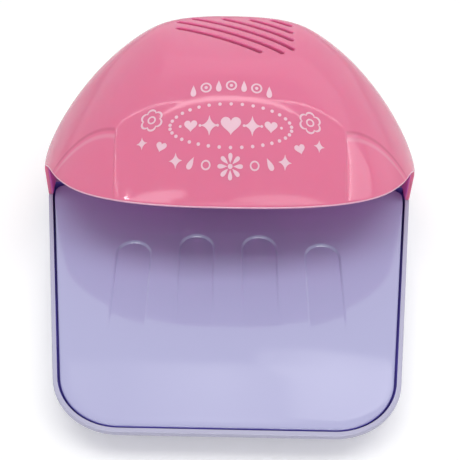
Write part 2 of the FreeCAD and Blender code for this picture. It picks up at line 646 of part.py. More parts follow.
holes = [bay, door_plan(DOOR_X0, DOOR_GAP, 0, BOTTOM_Z + DOOR_T + 0.1)]
for y in DOOR_EYES:
    holes.append(door_eye(y, DOOR_GAP, SIDE_GAP))
    holes.append(box(DOOR_AXIS_X - DOOR_EYE_R - DOOR_GAP, DOOR_AXIS_X + DOOR_EYE_R + 1,
                     y - DOOR_EYE_L / 2 - SIDE_GAP, y + DOOR_EYE_L / 2 + SIDE_GAP, 0,
                     DOOR_AXIS_Z))
holes.append(rod_y(DOOR_PIN_R, DOOR_PIN_Y0, DOOR_PIN_Y1, DOOR_AXIS_X, DOOR_AXIS_Z))
holes.append(rod(DOOR_SCREW_HOLE, DOOR_SCREW_X, DOOR_SCREW_Y, 0, DOOR_SCREW_TOP))
holes.append(rod_y(LEAD_R + 0.8, BULKHEAD_Y - 1, BULKHEAD_Y + BULKHEAD_T + 1, LEAD_X, LEAD_Z))
holes.append(rod_y(LEAD_R + 0.8, BULKHEAD_Y - 1, BULKHEAD_Y + BULKHEAD_T + 1, -LEAD_X, LEAD_Z))
for x, y in HOUSING_SCREWS:
    holes.append(rod(SCREW_R + 0.25, x, y, 0, RIM_Z + 1))
    holes.append(rod(HEAD_R + HEAD_GAP, x, y, 0, SCREW_Z))
for x in BAFFLE_SCREW_X:
    holes.append(rod(SMALL_SCREW_R, x, BAFFLE_SCREW_Y, RIM_Z - SCREW_GRIP, RIM_Z + 1))
for x, y in FEET:
    holes.append(rod(FOOT_R, x, y, 0, BOTTOM_Z + FOOT_SINK))
for x in (-HINGE_X, HINGE_X):
    holes.append(rod_x(PIN_R, x - HINGE_REACH, x + HINGE_REACH, HINGE_Y, HINGE_Z))
for x, y, half in SOLDER_TABS:
    holes.append(box(x - CONTACT_T, x + CONTACT_T, y - half - 0.2, y + half + 0.2,
                     BAY_TOP - 1, TAB_TOP))
tray = tray.cut(Part.makeCompound(holes))

# ---------------------------------------------------------------- battery door
door = door_plan(DOOR_X0 + DOOR_SWING, 0.0, BOTTOM_Z, BOTTOM_Z + DOOR_T)
for y in DOOR_EYES:
    link = box(DOOR_AXIS_X, DOOR_X0 + DOOR_SWING + 1, y - DOOR_EYE_L / 2,
               y + DOOR_EYE_L / 2, BOTTOM_Z, BOTTOM_Z + DOOR_T)
    door = door.fuse(fused([door_eye(y, 0.0, 0.0), link]))
door = door.cut(rod_y(DOOR_PIN_R + RUN_FIT, 0, 100, DOOR_AXIS_X, DOOR_AXIS_Z))
door = door.cut(rod(SMALL_SCREW_R, DOOR_SCREW_X, DOOR_SCREW_Y, 0, 2 * RIM_Z))
door = door.cut(rod(SMALL_HEAD_R, DOOR_SCREW_X, DOOR_SCREW_Y, 0, BOTTOM_Z + SMALL_HEAD_H - 0.2))
for y in DOOR_GRIPS:
    door = door.cut(box(DOOR_X1 - 12, DOOR_X1 - 4, y - 0.5, y + 0.5, 0, BOTTOM_Z + 0.5))

# ---------------------------------------------------------------- outlet baffle
def fan_ring(outer, inner, z0, z1):
    return rod(outer, 0, 0, z0, z1).cut(rod(inner, 0, 0, z0 - 1, z1 + 1))


def ear_points():
    reach = DUCT_R + DUCT_WALL + EAR_R - 0.8
    angles = [math.radians(a) for a in EAR_ANGLES]
    return [(reach * math.cos(a), reach * math.sin(a)) for a in angles]


grille = [rod(HUB_R + 0.5, 0, 0, 0, BAFFLE_T)]
step = (DUCT_R - HUB_R) / (GRILLE_RINGS + 1)
for k in range(1, GRILLE_RINGS + 1):
    r = HUB_R + k * step
    grille.append(fan_ring(r + GRILLE_BAR / 2, r - GRILLE_BAR / 2, 0, BAFFLE_T))
for k in range(GRILLE_SPOKES):
    spoke = box(HUB_R, DUCT_R + 0.5, -GRILLE_BAR / 2, GRILLE_BAR / 2, 0, BAFFLE_T)
    spoke.rotate(V(0, 0, 0), V(0, 0, 1), 360 * k / GRILLE_SPOKES + 30)
    grille.append(spoke)
panel = box(-80, 80, -80, FAN_UP + 5, 0, BAFFLE_T).cut(rod(DUCT_R, 0, 0, -1, BAFFLE_T + 1))
duct = [fan_ring(DUCT_R + DUCT_WALL, DUCT_R, 0, MOUNT_Z)]
for x, y in ear_points():
    duct.append(rod(EAR_R, x, y, MOUNT_Z - EAR_L, MOUNT_Z).cut(rod(DUCT_R, 0, 0, 0, 50)))
panel = placed(panel, FAN).common(hood_solid(HOOD_WALL + FIT, RIM_Z - 4))
panel = panel.cut(box(-80, 80, -80, 80, 0, RIM_Z))
baffle = [panel, placed(fused(grille + duct), FAN)]
for x in BAFFLE_SCREW_X:
    baffle.append(box(x - 4, x + 4, BAFFLE_Y + 0.5, BAFFLE_SCREW_Y + 3, RIM_Z, RIM_Z + BAFFLE_T))
baffle = baffle[0].multiFuse(baffle[1:])
for x in BAFFLE_SCREW_X:
    baffle = baffle.cut(rod(SMALL_SCREW_R, x, BAFFLE_SCREW_Y, RIM_Z - 1, RIM_Z + 5))
for x, y in ear_points():
    pilot = rod(SMALL_SCREW_R, x, y, MOUNT_Z - SCREW_GRIP, MOUNT_Z + 1)
    baffle = baffle.cut(placed(pilot, FAN))

# ---------------------------------------------------------------- motor and its mount
mount = [fan_ring(DUCT_R + DUCT_WALL, DUCT_R - 1, MOUNT_Z, MOTOR_Z),
         rod(MOTOR_R + CUP_T, 0, 0, MOUNT_Z, MOTOR_Z + CUP_L)]
for a in EAR_ANGLES:
    arm = box(MOTOR_R, DUCT_R, -ARM_W / 2, ARM_W / 2, MOUNT_Z, MOTOR_Z)
    arm.rotate(V(0, 0, 0), V(0, 0, 1), a)
    mount.append(arm)
mount += [rod(EAR_R, x, y, MOUNT_Z, MOTOR_Z) for x, y in ear_points()]
mount = fused(mount)
mount = mount.cut(rod(MOTOR_R, 0, 0, MOTOR_Z, MOTOR_Z + 50))
mount = mount.cut(rod(BUSH_R + FIT, 0, 0, 0, 50))
for x, y in ear_points():
    mount = mount.cut(rod(SMALL_SCREW_R, x, y, 0, 50))
MOTOR_END = MOTOR_Z + MOTOR_L
CAP_END = MOTOR_END + CAP_T
can = rod(MOTOR_R, 0, 0, MOTOR_Z, MOTOR_END)
can = can.makeFillet(1.0, [e for e in can.Edges if abs(e.CenterOfMass.z - MOTOR_Z) < 0.01])
can = can.fuse(rod(BUSH_R, 0, 0, MOTOR_Z - BUSH_L, MOTOR_Z + 0.5))
can = can.cut(rod(SHAFT_R + RUN_FIT, 0, 0, 0, 100))
cap = rod(MOTOR_R - 0.9, 0, 0, MOTOR_END, CAP_END).fuse(rod(BUSH_R, 0, 0, CAP_END, CAP_END + 1))
cap = cap.cut(rod(SHAFT_R + RUN_FIT, 0, 0, 0, 100))
terminals = [box(x - 1.2, x + 1.2, -0.25, 0.25, CAP_END, CAP_END + TERMINAL_L)
             for x in (-TERMINAL_X, TERMINAL_X)]
TERMINAL_Z = CAP_END + TERMINAL_L
capacitor = rod(2.6, 0, -2.2, CAP_END + 1.6, CAP_END + 3.2)
shaft = rod(SHAFT_R, 0, 0, FAN_FRONT + 2, CAP_END + 1.6)

# ---------------------------------------------------------------- impeller
def blade_section(radius, chord, pitch, camber):
    """Thin cambered section square to the radius."""
    a, b = math.cos(math.radians(pitch)), math.sin(math.radians(pitch))

    def at(along, across):
        return V(radius, along * a - across * b, along * b + across * a)

    top = Part.Arc(at(-chord / 2, 0), at(0, camber + BLADE_T / 2), at(chord / 2, 0))
    low = Part.Arc(at(chord / 2, 0), at(0, camber - BLADE_T / 2), at(-chord / 2, 0))
    wire = Part.Wire([top.toShape(), low.toShape()])
    wire.translate(V(0, 0, FAN_FRONT + HUB_L / 2))
    return wire


blade = Part.makeLoft([blade_section(HUB_R - 1.5, 8.6, 58, 0.9),
                       blade_section((HUB_R + FAN_R) / 2, 11.5, 40, 1.1),
                       blade_section(FAN_R + 1, 13.5, 28, 1.2)], True, False)
blades = []
for k in range(BLADE_COUNT):
    turned = blade.copy()
    turned.rotate(V(0, 0, 0), V(0, 0, 1), 360 * k / BLADE_COUNT)
    blades.append(turned)
hub_profile = Part.makePolygon([V(0, 0, FAN_FRONT), V(HUB_R - 2, 0, FAN_FRONT),
                                V(HUB_R - 0.6, 0, FAN_FRONT + 0.6), V(HUB_R, 0, FAN_FRONT + 2),
                                V(HUB_R, 0, FAN_FRONT + HUB_L), V(0, 0, FAN_FRONT + HUB_L),
                                V(0, 0, FAN_FRONT)])
hub = Part.Face(hub_profile).revolve(V(0, 0, 0), V(0, 0, 1), 360)
impeller = fused([hub] + blades).common(rod(FAN_R, 0, 0, 0, 40))
impeller = impeller.cut(rod(SHAFT_R, 0, 0, FAN_FRONT + 2, 50))

# ---------------------------------------------------------------- cells and contacts
cells, springs, ends = [], [], []
plate_z0, plate_z1 = BOTTOM_Z + DOOR_T + 1.2, BAY_TOP - 1
for k, y in enumerate(CELL_Y):
    face = (1, -1)[k]
    nub = face * (BAY_HALF - CONTACT_T)
    shoulder = nub - face * NUB_L
    tail = shoulder - face * CELL_L
    can_x = sorted((shoulder, tail))
    nub_x = sorted((nub, shoulder))
    body = rod_x(CELL_R, can_x[0], can_x[1], y, CELL_Z)
    body = body.makeChamfer(0.6, [e for e in body.Edges if len(e.Vertexes) == 1])
    cells.append(body.fuse(rod_x(NUB_R, nub_x[0], nub_x[1], y, CELL_Z)))
    spring = coil(CELL_R - 2.2, SPRING_ROOM, 3, WIRE_R, 0, 0, 0, 2.2)
    spring.rotate(V(0, 0, 0), V(0, 1, 0), 90 * face)
    spring.translate(V(-face * (BAY_HALF - CONTACT_T), y, CELL_Z))
    springs.append(spring)
link_plate = box(-BAY_HALF, -BAY_HALF + CONTACT_T, CELL_Y[0] - CONTACT_HALF,
                 CELL_Y[1] + CONTACT_HALF, plate_z0, plate_z1)
for x, y, half in SOLDER_TABS:
    blank = box(BAY_HALF - CONTACT_T, BAY_HALF, y - CONTACT_HALF, y + CONTACT_HALF,
                plate_z0, plate_z1)
    tab = box(BAY_HALF - CONTACT_T, BAY_HALF, y - half, y + half, plate_z1, TAB_TOP)
    ends.append(blank.fuse(tab))

# ---------------------------------------------------------------- switch
holder = box(-LEAF_W / 2 - 2, LEAF_W / 2 + 2, LEAF_CLAMP_Y, LEAF_CLAMP_Y + 8, FLOOR_Z,
             LEAF_Z + LEAF_GAP + LEAF_T + 1.2)
leaf_y1 = LEAF_CLAMP_Y + 10
low_leaf = box(-LEAF_W / 2, LEAF_W / 2, LEAF_TIP_Y, leaf_y1, LEAF_Z - LEAF_T, LEAF_Z)
low_leaf = low_leaf.fuse(rod(1.2, 0, LEAF_TIP_Y + 2.5, LEAF_Z, LEAF_Z + CONTACT_H))
rise = LEAF_TOP - LEAF_T
clamp_z = LEAF_Z + LEAF_GAP
sprung = [(leaf_y1, clamp_z), (LEAF_CLAMP_Y, clamp_z), (LEAF_TIP_Y, rise),
          (LEAF_TIP_Y, rise + LEAF_T), (LEAF_CLAMP_Y, clamp_z + LEAF_T), (leaf_y1, clamp_z + LEAF_T)]
top_leaf = side_profile(sprung, -LEAF_W / 2, LEAF_W / 2)
holder = holder.cut(low_leaf).cut(top_leaf)

# ---------------------------------------------------------------- wires
live = FAN.multVec(V(TERMINAL_X, 0, TERMINAL_Z))
dead = FAN.multVec(V(-TERMINAL_X, 0, TERMINAL_Z))
back = FAN.Rotation.multVec(V(0, 0, 1))
start = V(BAY_HALF - CONTACT_T / 2, CELL_Y[0], TAB_TOP)
wire_red = tube([start, start + V(0, 0, 3), start + V(-1, 5, 9), live + V(16, -2, -12),
                 live + V(5, 6, -1), live + back * 4, live], LEAD_R)
start = V(BAY_HALF - CONTACT_T / 2, CELL_Y[1], TAB_TOP)
tail = V(1.2, leaf_y1, LEAF_Z - LEAF_T / 2)
wire_black = tube([start, start + V(0, 0, 3), start + V(3, -1, 5),
                   V(LEAD_X + 1.4, CELL_Y[1] - 5, LEAD_Z + 8),
                   V(LEAD_X, DOOR_SCREW_Y - 2, LEAD_Z + 3), V(LEAD_X, BULKHEAD_Y + 8, LEAD_Z),
                   V(LEAD_X, BULKHEAD_Y - 6, LEAD_Z), V(18, leaf_y1 + 12, 6),
                   tail + V(3, 6, -0.6), tail + V(0, 3, 0), tail], LEAD_R)
tail = V(-1.2, leaf_y1, clamp_z + LEAF_T / 2)
wire_blue = tube([tail, tail + V(0, 3, 0), tail + V(-3, 6, -0.5), V(-18, leaf_y1 + 12, 7),
                  V(-LEAD_X, BULKHEAD_Y - 6, LEAD_Z), V(-LEAD_X, BULKHEAD_Y + 8, LEAD_Z),
                  V(-LEAD_X - 1, DOOR_SCREW_Y, LEAD_Z + 3), V(-LEAD_X - 1, CELL_Y[1] - 3, 22),
                  dead + V(-22, 0, -20), dead + V(-14, 4, -6), dead + V(-3, 6, 1),
                  dead + back * 4, dead], LEAD_R)


# ---------------------------------------------------------------- the pieces
def screw(head_r, head_h, shank_r, length):
    """Screw with its head's underside at the origin, pointing along +Z."""
    head = rod(head_r, 0, 0, -head_h, 0)
    cross = fused([box(-head_r * 0.6, head_r * 0.6, -0.3, 0.3, -head_h, -head_h / 2),
                   box(-0.3, 0.3, -head_r * 0.6, head_r * 0.6, -head_h, -head_h / 2)])
    tip = Part.makeCone(shank_r, shank_r * 0.4, 1, V(0, 0, length - 1))
    return fused([head.cut(cross), rod(shank_r, 0, 0, 0, length - 1), tip])


def at(shape, x, y, z, flipped=False):
    moved = shape.copy()
    if flipped:
        moved.rotate(V(0, 0, 0), V(1, 0, 0), 180)
    moved.translate(V(x, y, z))
    return moved


long_screw = screw(HEAD_R, HEAD_H, SCREW_R, SCREW_TOP - SCREW_Z)
small_screw = screw(SMALL_HEAD_R, SMALL_HEAD_H, SMALL_SCREW_R, SCREW_GRIP + BAFFLE_T)
mount_screw = screw(SMALL_HEAD_R, SMALL_HEAD_H, SMALL_SCREW_R, SCREW_GRIP + MOUNT_T - 1)
pins = [rod_x(PIN_R, x - HINGE_REACH, x + HINGE_REACH, HINGE_Y, HINGE_Z)
        for x in (-HINGE_X, HINGE_X)]
pieces = {
    "hood_shell": hood,
    "tray_shell": tray,
    "press_plate": plate,
    "hinge_pins": Part.makeCompound(pins),
    "return_springs": Part.makeCompound(
        [coil(SPRING_R, PLATE_UNDER - FLOOR_Z, SPRING_TURNS, WIRE_R, x, y, FLOOR_Z)
         for x, y in RETURN_SPRINGS]),
    "outlet_baffle": baffle,
    "baffle_screws": Part.makeCompound(
        [at(small_screw, x, BAFFLE_SCREW_Y, RIM_Z + BAFFLE_T, True) for x in BAFFLE_SCREW_X]),
    "motor_mount": placed(mount, FAN),
    "mount_screws": placed(Part.makeCompound(
        [at(mount_screw, x, y, MOTOR_Z, True) for x, y in ear_points()]), FAN),
    "motor_can": placed(can, FAN),
    "motor_cap": placed(cap, FAN),
    "motor_terminals": placed(Part.makeCompound(terminals), FAN),
    "noise_capacitor": placed(capacitor, FAN),
    "motor_shaft": placed(shaft, FAN),
    "impeller": placed(impeller, FAN),
    "battery_cells": Part.makeCompound(cells),
    "cell_springs": Part.makeCompound(springs),
    "cell_link": link_plate,
    "cell_terminals": Part.makeCompound(ends),
    "battery_door": door,
    "door_pin": rod_y(DOOR_PIN_R, DOOR_PIN_Y0, DOOR_PIN_Y1, DOOR_AXIS_X, DOOR_AXIS_Z),
    "door_screw": at(screw(SMALL_HEAD_R, SMALL_HEAD_H, SMALL_SCREW_R, DOOR_SCREW_L),
                     DOOR_SCREW_X, DOOR_SCREW_Y, BOTTOM_Z + SMALL_HEAD_H - 0.2),
    "switch_holder": holder,
    "switch_low_leaf": low_leaf,
    "switch_top_leaf": top_leaf,
    "housing_screws": Part.makeCompound(
        [at(long_screw, x, y, SCREW_Z) for x, y in HOUSING_SCREWS]),
    "rubber_feet": Part.makeCompound([rod(FOOT_R, x, y, 0, BOTTOM_Z + FOOT_SINK) for x, y in FEET]),
    "wire_red": wire_red,
    "wire_black": wire_black,
    "wire_blue": wire_blue,
}
os.makedirs("parts", exist_ok=True)
for name, shape in pieces.items():
    shape.exportStep(f"parts/{name}.step")
    print(name, len(shape.Solids), shape.isValid(), round(shape.Volume, 1))
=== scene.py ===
# %% [markdown]
# # Nail polish fan dryer
# The dryer is a pale lilac tray with a hinged press plate, under a glossy pink hood that hides
# a small fan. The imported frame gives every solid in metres, +Z up, front towards -Y. This
# lesson loads it, makes the visible pieces and their finishes, then lights and frames them.

# %% Load the frame
import bpy
import json
import math
from mathutils import Matrix, Vector


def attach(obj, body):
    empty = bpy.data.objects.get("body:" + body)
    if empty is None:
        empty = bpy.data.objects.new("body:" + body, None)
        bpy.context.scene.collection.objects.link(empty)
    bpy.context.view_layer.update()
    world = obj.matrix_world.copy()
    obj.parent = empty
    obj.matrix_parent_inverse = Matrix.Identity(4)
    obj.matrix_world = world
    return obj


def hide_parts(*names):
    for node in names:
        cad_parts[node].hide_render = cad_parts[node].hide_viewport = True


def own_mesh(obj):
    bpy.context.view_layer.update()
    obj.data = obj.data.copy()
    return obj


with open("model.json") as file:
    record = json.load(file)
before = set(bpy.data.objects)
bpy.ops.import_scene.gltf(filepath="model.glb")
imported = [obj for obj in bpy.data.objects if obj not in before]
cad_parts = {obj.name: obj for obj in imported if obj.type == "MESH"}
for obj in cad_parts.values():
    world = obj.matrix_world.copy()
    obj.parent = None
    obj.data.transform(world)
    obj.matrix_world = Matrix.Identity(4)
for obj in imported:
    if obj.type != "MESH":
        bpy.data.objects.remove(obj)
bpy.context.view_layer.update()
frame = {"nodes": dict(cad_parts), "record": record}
node = frame["nodes"]

# %% [markdown]
# ## Camera
# The dryer is seen from above its front edge through a short telephoto lens, from about 40 cm
# away. A camera needs a place, three axes and a focal length. The axes are built from an
# elevation, a small turn to the side and a small roll, so that each can be read.

# %% Camera
ELEVATION, TURN, ROLL = math.radians(47.0), math.radians(1.0106), math.radians(0.2573)
CAMERA_AT = Vector((-3.018, -254.714, 299.743)) * 0.001
SENSOR, LENS = 36.0, 78.107  # millimetres
SHIFT = (0.04678, -0.00211)  # shares of the picture's width
NEAREST = 0.01  # metres


def camera_axes():
    """Right, up and back of the camera."""
    back = Vector((math.sin(TURN) * math.cos(ELEVATION),
                   -math.cos(TURN) * math.cos(ELEVATION), math.sin(ELEVATION)))
    level = (-back).cross(Vector((0, 0, 1))).normalized()
    steep = level.cross(-back)
    right = math.cos(ROLL) * level + math.sin(ROLL) * steep
    up = -math.sin(ROLL) * level + math.cos(ROLL) * steep
    return right, up, back


bpy.ops.object.select_all(action="DESELECT")
bpy.ops.object.camera_add(location=CAMERA_AT)
camera = bpy.context.object
camera.name = "camera"
right, up, back = camera_axes()
facing = Matrix((right, up, back)).transposed().to_4x4()
camera.matrix_world = Matrix.Translation(CAMERA_AT) @ facing
camera.data.sensor_width, camera.data.lens = SENSOR, LENS
camera.data.shift_x, camera.data.shift_y = SHIFT
camera.data.clip_start = NEAREST
bpy.context.scene.camera = camera
print("camera looks along", [round(v, 3) for v in -back])

# %% [markdown]
# ## Small helpers
# Every piece goes through the same few steps: pick one object, work on its mesh, shade it, hand
# it to the body that it moves with. No helper moves an object, because a piece's place is in
# its mesh.

# %% Helpers for pieces
MM = 0.001


def only(piece):
    """Select one object and make it active."""
    bpy.ops.object.select_all(action="DESELECT")
    piece.select_set(True)
    bpy.context.view_layer.objects.active = piece


def new_grid(columns, rows):
    """Flat grid one metre across, to be rolled up or laid down point by point."""
    bpy.ops.object.select_all(action="DESELECT")
    bpy.ops.mesh.primitive_grid_add(x_subdivisions=columns, y_subdivisions=rows, size=1)
    return bpy.context.object


def cell_of(vertex, columns, rows):
    """Column and row of a point of a flat grid."""
    return round((vertex.co.x + 0.5) * columns), round((vertex.co.y + 0.5) * rows)


def pick_faces(piece, wanted):
    """Go into edit mode with just the faces selected that pass a test."""
    only(piece)
    bpy.ops.object.mode_set(mode="EDIT")
    bpy.ops.mesh.select_mode(type="FACE")
    bpy.ops.mesh.select_all(action="DESELECT")
    bpy.ops.object.mode_set(mode="OBJECT")
    for face in piece.data.polygons:
        face.select = wanted(face)
    bpy.ops.object.mode_set(mode="EDIT")


def apply_modifier(piece, kind, **settings):
    """Add a modifier, set it and apply it."""
    only(piece)
    modifier = piece.modifiers.new(kind.lower(), kind)
    for key, value in settings.items():
        setattr(modifier, key, value)
    bpy.ops.object.modifier_apply(modifier=modifier.name)


def cut_off(piece, cutter):
    """Cut a closed shape out of a piece and throw the shape away."""
    apply_modifier(piece, "BOOLEAN", object=cutter, operation="DIFFERENCE", solver="MANIFOLD")
    bpy.data.objects.remove(cutter)


def joined(pieces):
    """Join several objects into the first."""
    only(pieces[0])
    for piece in pieces:
        piece.select_set(True)
    bpy.ops.object.join()
    return bpy.context.object


def smooth(piece, angle=40):
    """Smooth shading that keeps edges sharper than the angle."""
    only(piece)
    bpy.ops.object.shade_smooth_by_angle(angle=math.radians(angle))


def handed_over(piece, name, body, material, *stands_for):
    """Name the piece, dress it, and let it ride on its body in place of a CAD node."""
    piece.name = name
    piece.data.name = name
    piece.data.materials.clear()
    piece.data.materials.append(material)
    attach(piece, body)
    if stands_for:
        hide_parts(*stands_for)
    print(name, "faces:", len(piece.data.polygons))


print("pieces are written in millimetres, and one is", MM, "m")

# %% [markdown]
# ## Nodes
# A material is a small tree of nodes: patterns, a shader, and arithmetic between them. Each
# helper adds one node and returns its output, so that a material reads like a sum. Patterns
# read the piece's own coordinates, and so stay on the piece when it moves.


# %% Node helpers
MIX_FACTOR, MIX_A, MIX_B, MIX_RESULT = 0, 6, 7, 2  # a Mix node's sockets for colours


def new_material(name):
    """Empty node material with a Principled shader."""
    material = bpy.data.materials.new(name)
    material.use_nodes = True
    tree = material.node_tree
    return material, tree, tree.nodes["Principled BSDF"]


def place(tree):
    """Where a point is on its piece, in metres."""
    return tree.nodes.new("ShaderNodeTexCoord").outputs["Object"]


def noise(tree, scale, detail=2.0):
    """Noise read from the piece's own coordinates."""
    grain = tree.nodes.new("ShaderNodeTexNoise")
    grain.inputs["Scale"].default_value = scale
    grain.inputs["Detail"].default_value = detail
    tree.links.new(place(tree), grain.inputs["Vector"])
    return grain.outputs["Fac"]


def between(tree, factor, low, high, start=0.0, stop=1.0, kind="LINEAR"):
    """Map start..stop of a factor onto low..high."""
    remap = tree.nodes.new("ShaderNodeMapRange")
    remap.interpolation_type = kind
    remap.inputs["From Min"].default_value = start
    remap.inputs["From Max"].default_value = stop
    remap.inputs["To Min"].default_value = low
    remap.inputs["To Max"].default_value = high
    tree.links.new(factor, remap.inputs["Value"])
    return remap.outputs["Result"]


def calc(tree, operation, a, b=None):
    """One Math node; numbers and sockets may be mixed."""
    step = tree.nodes.new("ShaderNodeMath")
    step.operation = operation
    for socket, value in zip(step.inputs, (a, b)):
        if isinstance(value, (int, float)):
            socket.default_value = value
        elif value is not None:
            tree.links.new(value, socket)
    return step.outputs[0]


def mixed(tree, factor, first, second):
    """Mix two colours by a factor; each is three numbers or a socket."""
    mix = tree.nodes.new("ShaderNodeMix")
    mix.data_type = "RGBA"
    tree.links.new(factor, mix.inputs[MIX_FACTOR])
    for index, colour in ((MIX_A, first), (MIX_B, second)):
        if isinstance(colour, tuple):
            mix.inputs[index].default_value = (*colour, 1.0)
        else:
            tree.links.new(colour, mix.inputs[index])
    return mix.outputs[MIX_RESULT]


def bumped(tree, shader, height):
    """Raise the surface by a height in millimetres."""
    bump = tree.nodes.new("ShaderNodeBump")
    bump.inputs["Distance"].default_value = MM
    tree.links.new(height, bump.inputs["Height"])
    tree.links.new(bump.outputs["Normal"], shader.inputs["Normal"])


print("bumps are in millimetres")

# %% [markdown]
# ## Moulded plastic
# Injection-moulded plastic is glossy, but never a perfect mirror: the polished mould leaves a
# faint unevenness that bends long reflections, and handling leaves slightly duller patches. One
# helper builds that from three noises, for the tone, the gloss and the waves.


# %% Moulded plastic
PATCHES, HAZE, WAVES = 14, 60, 70  # noise scales of the tone, the gloss and the waves
PLASTIC_IOR = 1.5


def moulded(name, colour, shade, gloss=(0.14, 0.2), wave=0.0, lines=None):
    """Moulded plastic: two near tones, uneven gloss, faint waves and any moulded lines."""
    material, tree, shader = new_material(name)
    tone = mixed(tree, noise(tree, PATCHES), colour, shade)
    tree.links.new(tone, shader.inputs["Base Color"])
    tree.links.new(between(tree, noise(tree, HAZE, 4), *gloss), shader.inputs["Roughness"])
    shader.inputs["IOR"].default_value = PLASTIC_IOR
    height = between(tree, noise(tree, WAVES), 0.0, wave)
    if lines:
        height = calc(tree, "ADD", height, lines(tree))
    bumped(tree, shader, height)
    return material


# %% [markdown]
# ## Side creases
# On each side of the hood's mouth a moulded crease runs across the skin. It is far too shallow
# for geometry and shows as a thin dark line with a paler one in front of it, so it is part of
# the material: the dark line is painted shade in the crease, and the paler one is a painted
# highlight. The crease is a curve in plan, `middle - bow * t * t`, and everything about it
# follows from a point's distance to that curve: a small step in height, and the painted shade
# and highlight.


# %% Side creases
CREASE_Y, CREASE_BOW = 0.0192, 0.0026  # metres: place and bow of the curve
CREASE_X, CREASE_REACH = 0.054, 0.0115  # its middle, and where t is 1
FADE_IN, FADE_OUT = (0.0412, 0.0420), (0.0640, 0.0675)  # its two ends, to each side
DROP, DROP_OVER = -0.22, (-0.0016, 0.0004)  # millimetres, over metres behind it
# the painted shade line at the crease, and the painted highlight line in front of it
PAINTED_CREASE_LINES = ((0.0002, 0.0011, 0.55), (-0.0022, 0.0013, 0.4))  # middle, half width, share


def crease_distance(tree):
    """Distance behind the crease in metres, and a mask that keeps it to the hood's sides."""
    split = tree.nodes.new("ShaderNodeSeparateXYZ")
    tree.links.new(place(tree), split.inputs[0])
    side = calc(tree, "ABSOLUTE", split.outputs[0])
    t = calc(tree, "DIVIDE", calc(tree, "SUBTRACT", side, CREASE_X), CREASE_REACH)
    bow = calc(tree, "MULTIPLY", CREASE_BOW, calc(tree, "MULTIPLY", t, t))
    behind = calc(tree, "SUBTRACT", split.outputs[1], calc(tree, "SUBTRACT", CREASE_Y, bow))
    mask = calc(tree, "MULTIPLY", between(tree, side, 0.0, 1.0, *FADE_IN, "SMOOTHSTEP"),
                between(tree, side, 1.0, 0.0, *FADE_OUT, "SMOOTHSTEP"))
    return behind, mask


def crease_step(tree):
    """Height in millimetres: the skin drops a little in front of the crease."""
    behind, mask = crease_distance(tree)
    return calc(tree, "MULTIPLY", between(tree, behind, DROP, 0.0, *DROP_OVER, "SMOOTHSTEP"), mask)


def line_at(tree, distance, middle, half):
    """1 on a line at a distance, fading to 0 over its half width."""
    off = calc(tree, "ABSOLUTE", calc(tree, "SUBTRACT", distance, middle))
    return between(tree, off, 1.0, 0.0, 0.0, half, "SMOOTHSTEP")


def paint_crease_shade_and_highlight(material, *shade_and_highlight):
    """Paint the crease's shade and highlight into a material's colour."""
    tree = material.node_tree
    base = tree.nodes["Principled BSDF"].inputs["Base Color"]
    behind, mask = crease_distance(tree)
    for (middle, half, share), tone in zip(PAINTED_CREASE_LINES, shade_and_highlight):
        line = calc(tree, "MULTIPLY", line_at(tree, behind, middle, half), mask)
        factor = calc(tree, "MULTIPLY", line, share)
        tree.links.new(mixed(tree, factor, base.links[0].from_socket, tone), base)


print("lines in a crease:", len(PAINTED_CREASE_LINES))

# %% [markdown]
# ## Plastics
# The hood's pink is one moulding, but four parts of it look different, so it has four
# materials. The skin is glossy. The inside is dull and a little bluer, a painted tint for light
# bounced from the lilac around it. The lip's thin edge is painted pale as a highlight, and the
# walls of the slots are painted a lighter pink for the glow of light that soaks into them. A
# little subsurface scattering gives all but the edge part of that soaked look. The tray and the
# plate are two lilacs, and the narrow gap between them is painted a deeper violet as shade.

# %% Plastics
SOAKED = {"Subsurface Weight": 0.4, "Subsurface Radius": (1.0, 0.22, 0.45),
          "Subsurface Scale": 4.0 * MM}
pink = moulded("pink_moulding", (0.825, 0.188, 0.338), (0.815, 0.18, 0.328), gloss=(0.05, 0.09),
               wave=0.01, lines=crease_step)
# the side creases' painted shade and painted highlight
paint_crease_shade_and_highlight(pink, (0.55, 0.09, 0.20), (0.88, 0.42, 0.56))
# painted bounce light: the inside's pink is tinted bluer for light from the lilac around it
pink_inside_painted_bounce = moulded("pink_inside_painted_bounce", (0.80, 0.18, 0.55), (0.78, 0.17, 0.53), gloss=(0.4, 0.5))
# painted highlight: the lip's thin edge is paler than the skin
pink_edge_painted_highlight = moulded("pink_edge_painted_highlight", (0.90, 0.50, 0.64), (0.88, 0.46, 0.60), gloss=(0.1, 0.15))
# painted glow: the slot walls are a lighter pink for light soaked into them; the subsurface adds
# some real glow
pink_slot_painted_glow = moulded("pink_slot_painted_glow", (0.98, 0.22, 0.45), (0.96, 0.21, 0.43), gloss=(0.4, 0.5))
for plastic in (pink, pink_inside_painted_bounce, pink_slot_painted_glow):
    sockets = plastic.node_tree.nodes["Principled BSDF"].inputs
    for socket, value in SOAKED.items():
        sockets[socket].default_value = value
lilac = moulded("lilac_tray", (0.50, 0.49, 0.66), (0.49, 0.48, 0.65), wave=0.01)
plate_lilac = moulded("lilac_plate", (0.468, 0.467, 0.735), (0.458, 0.457, 0.72),
                      gloss=(0.05, 0.09), wave=0.01)
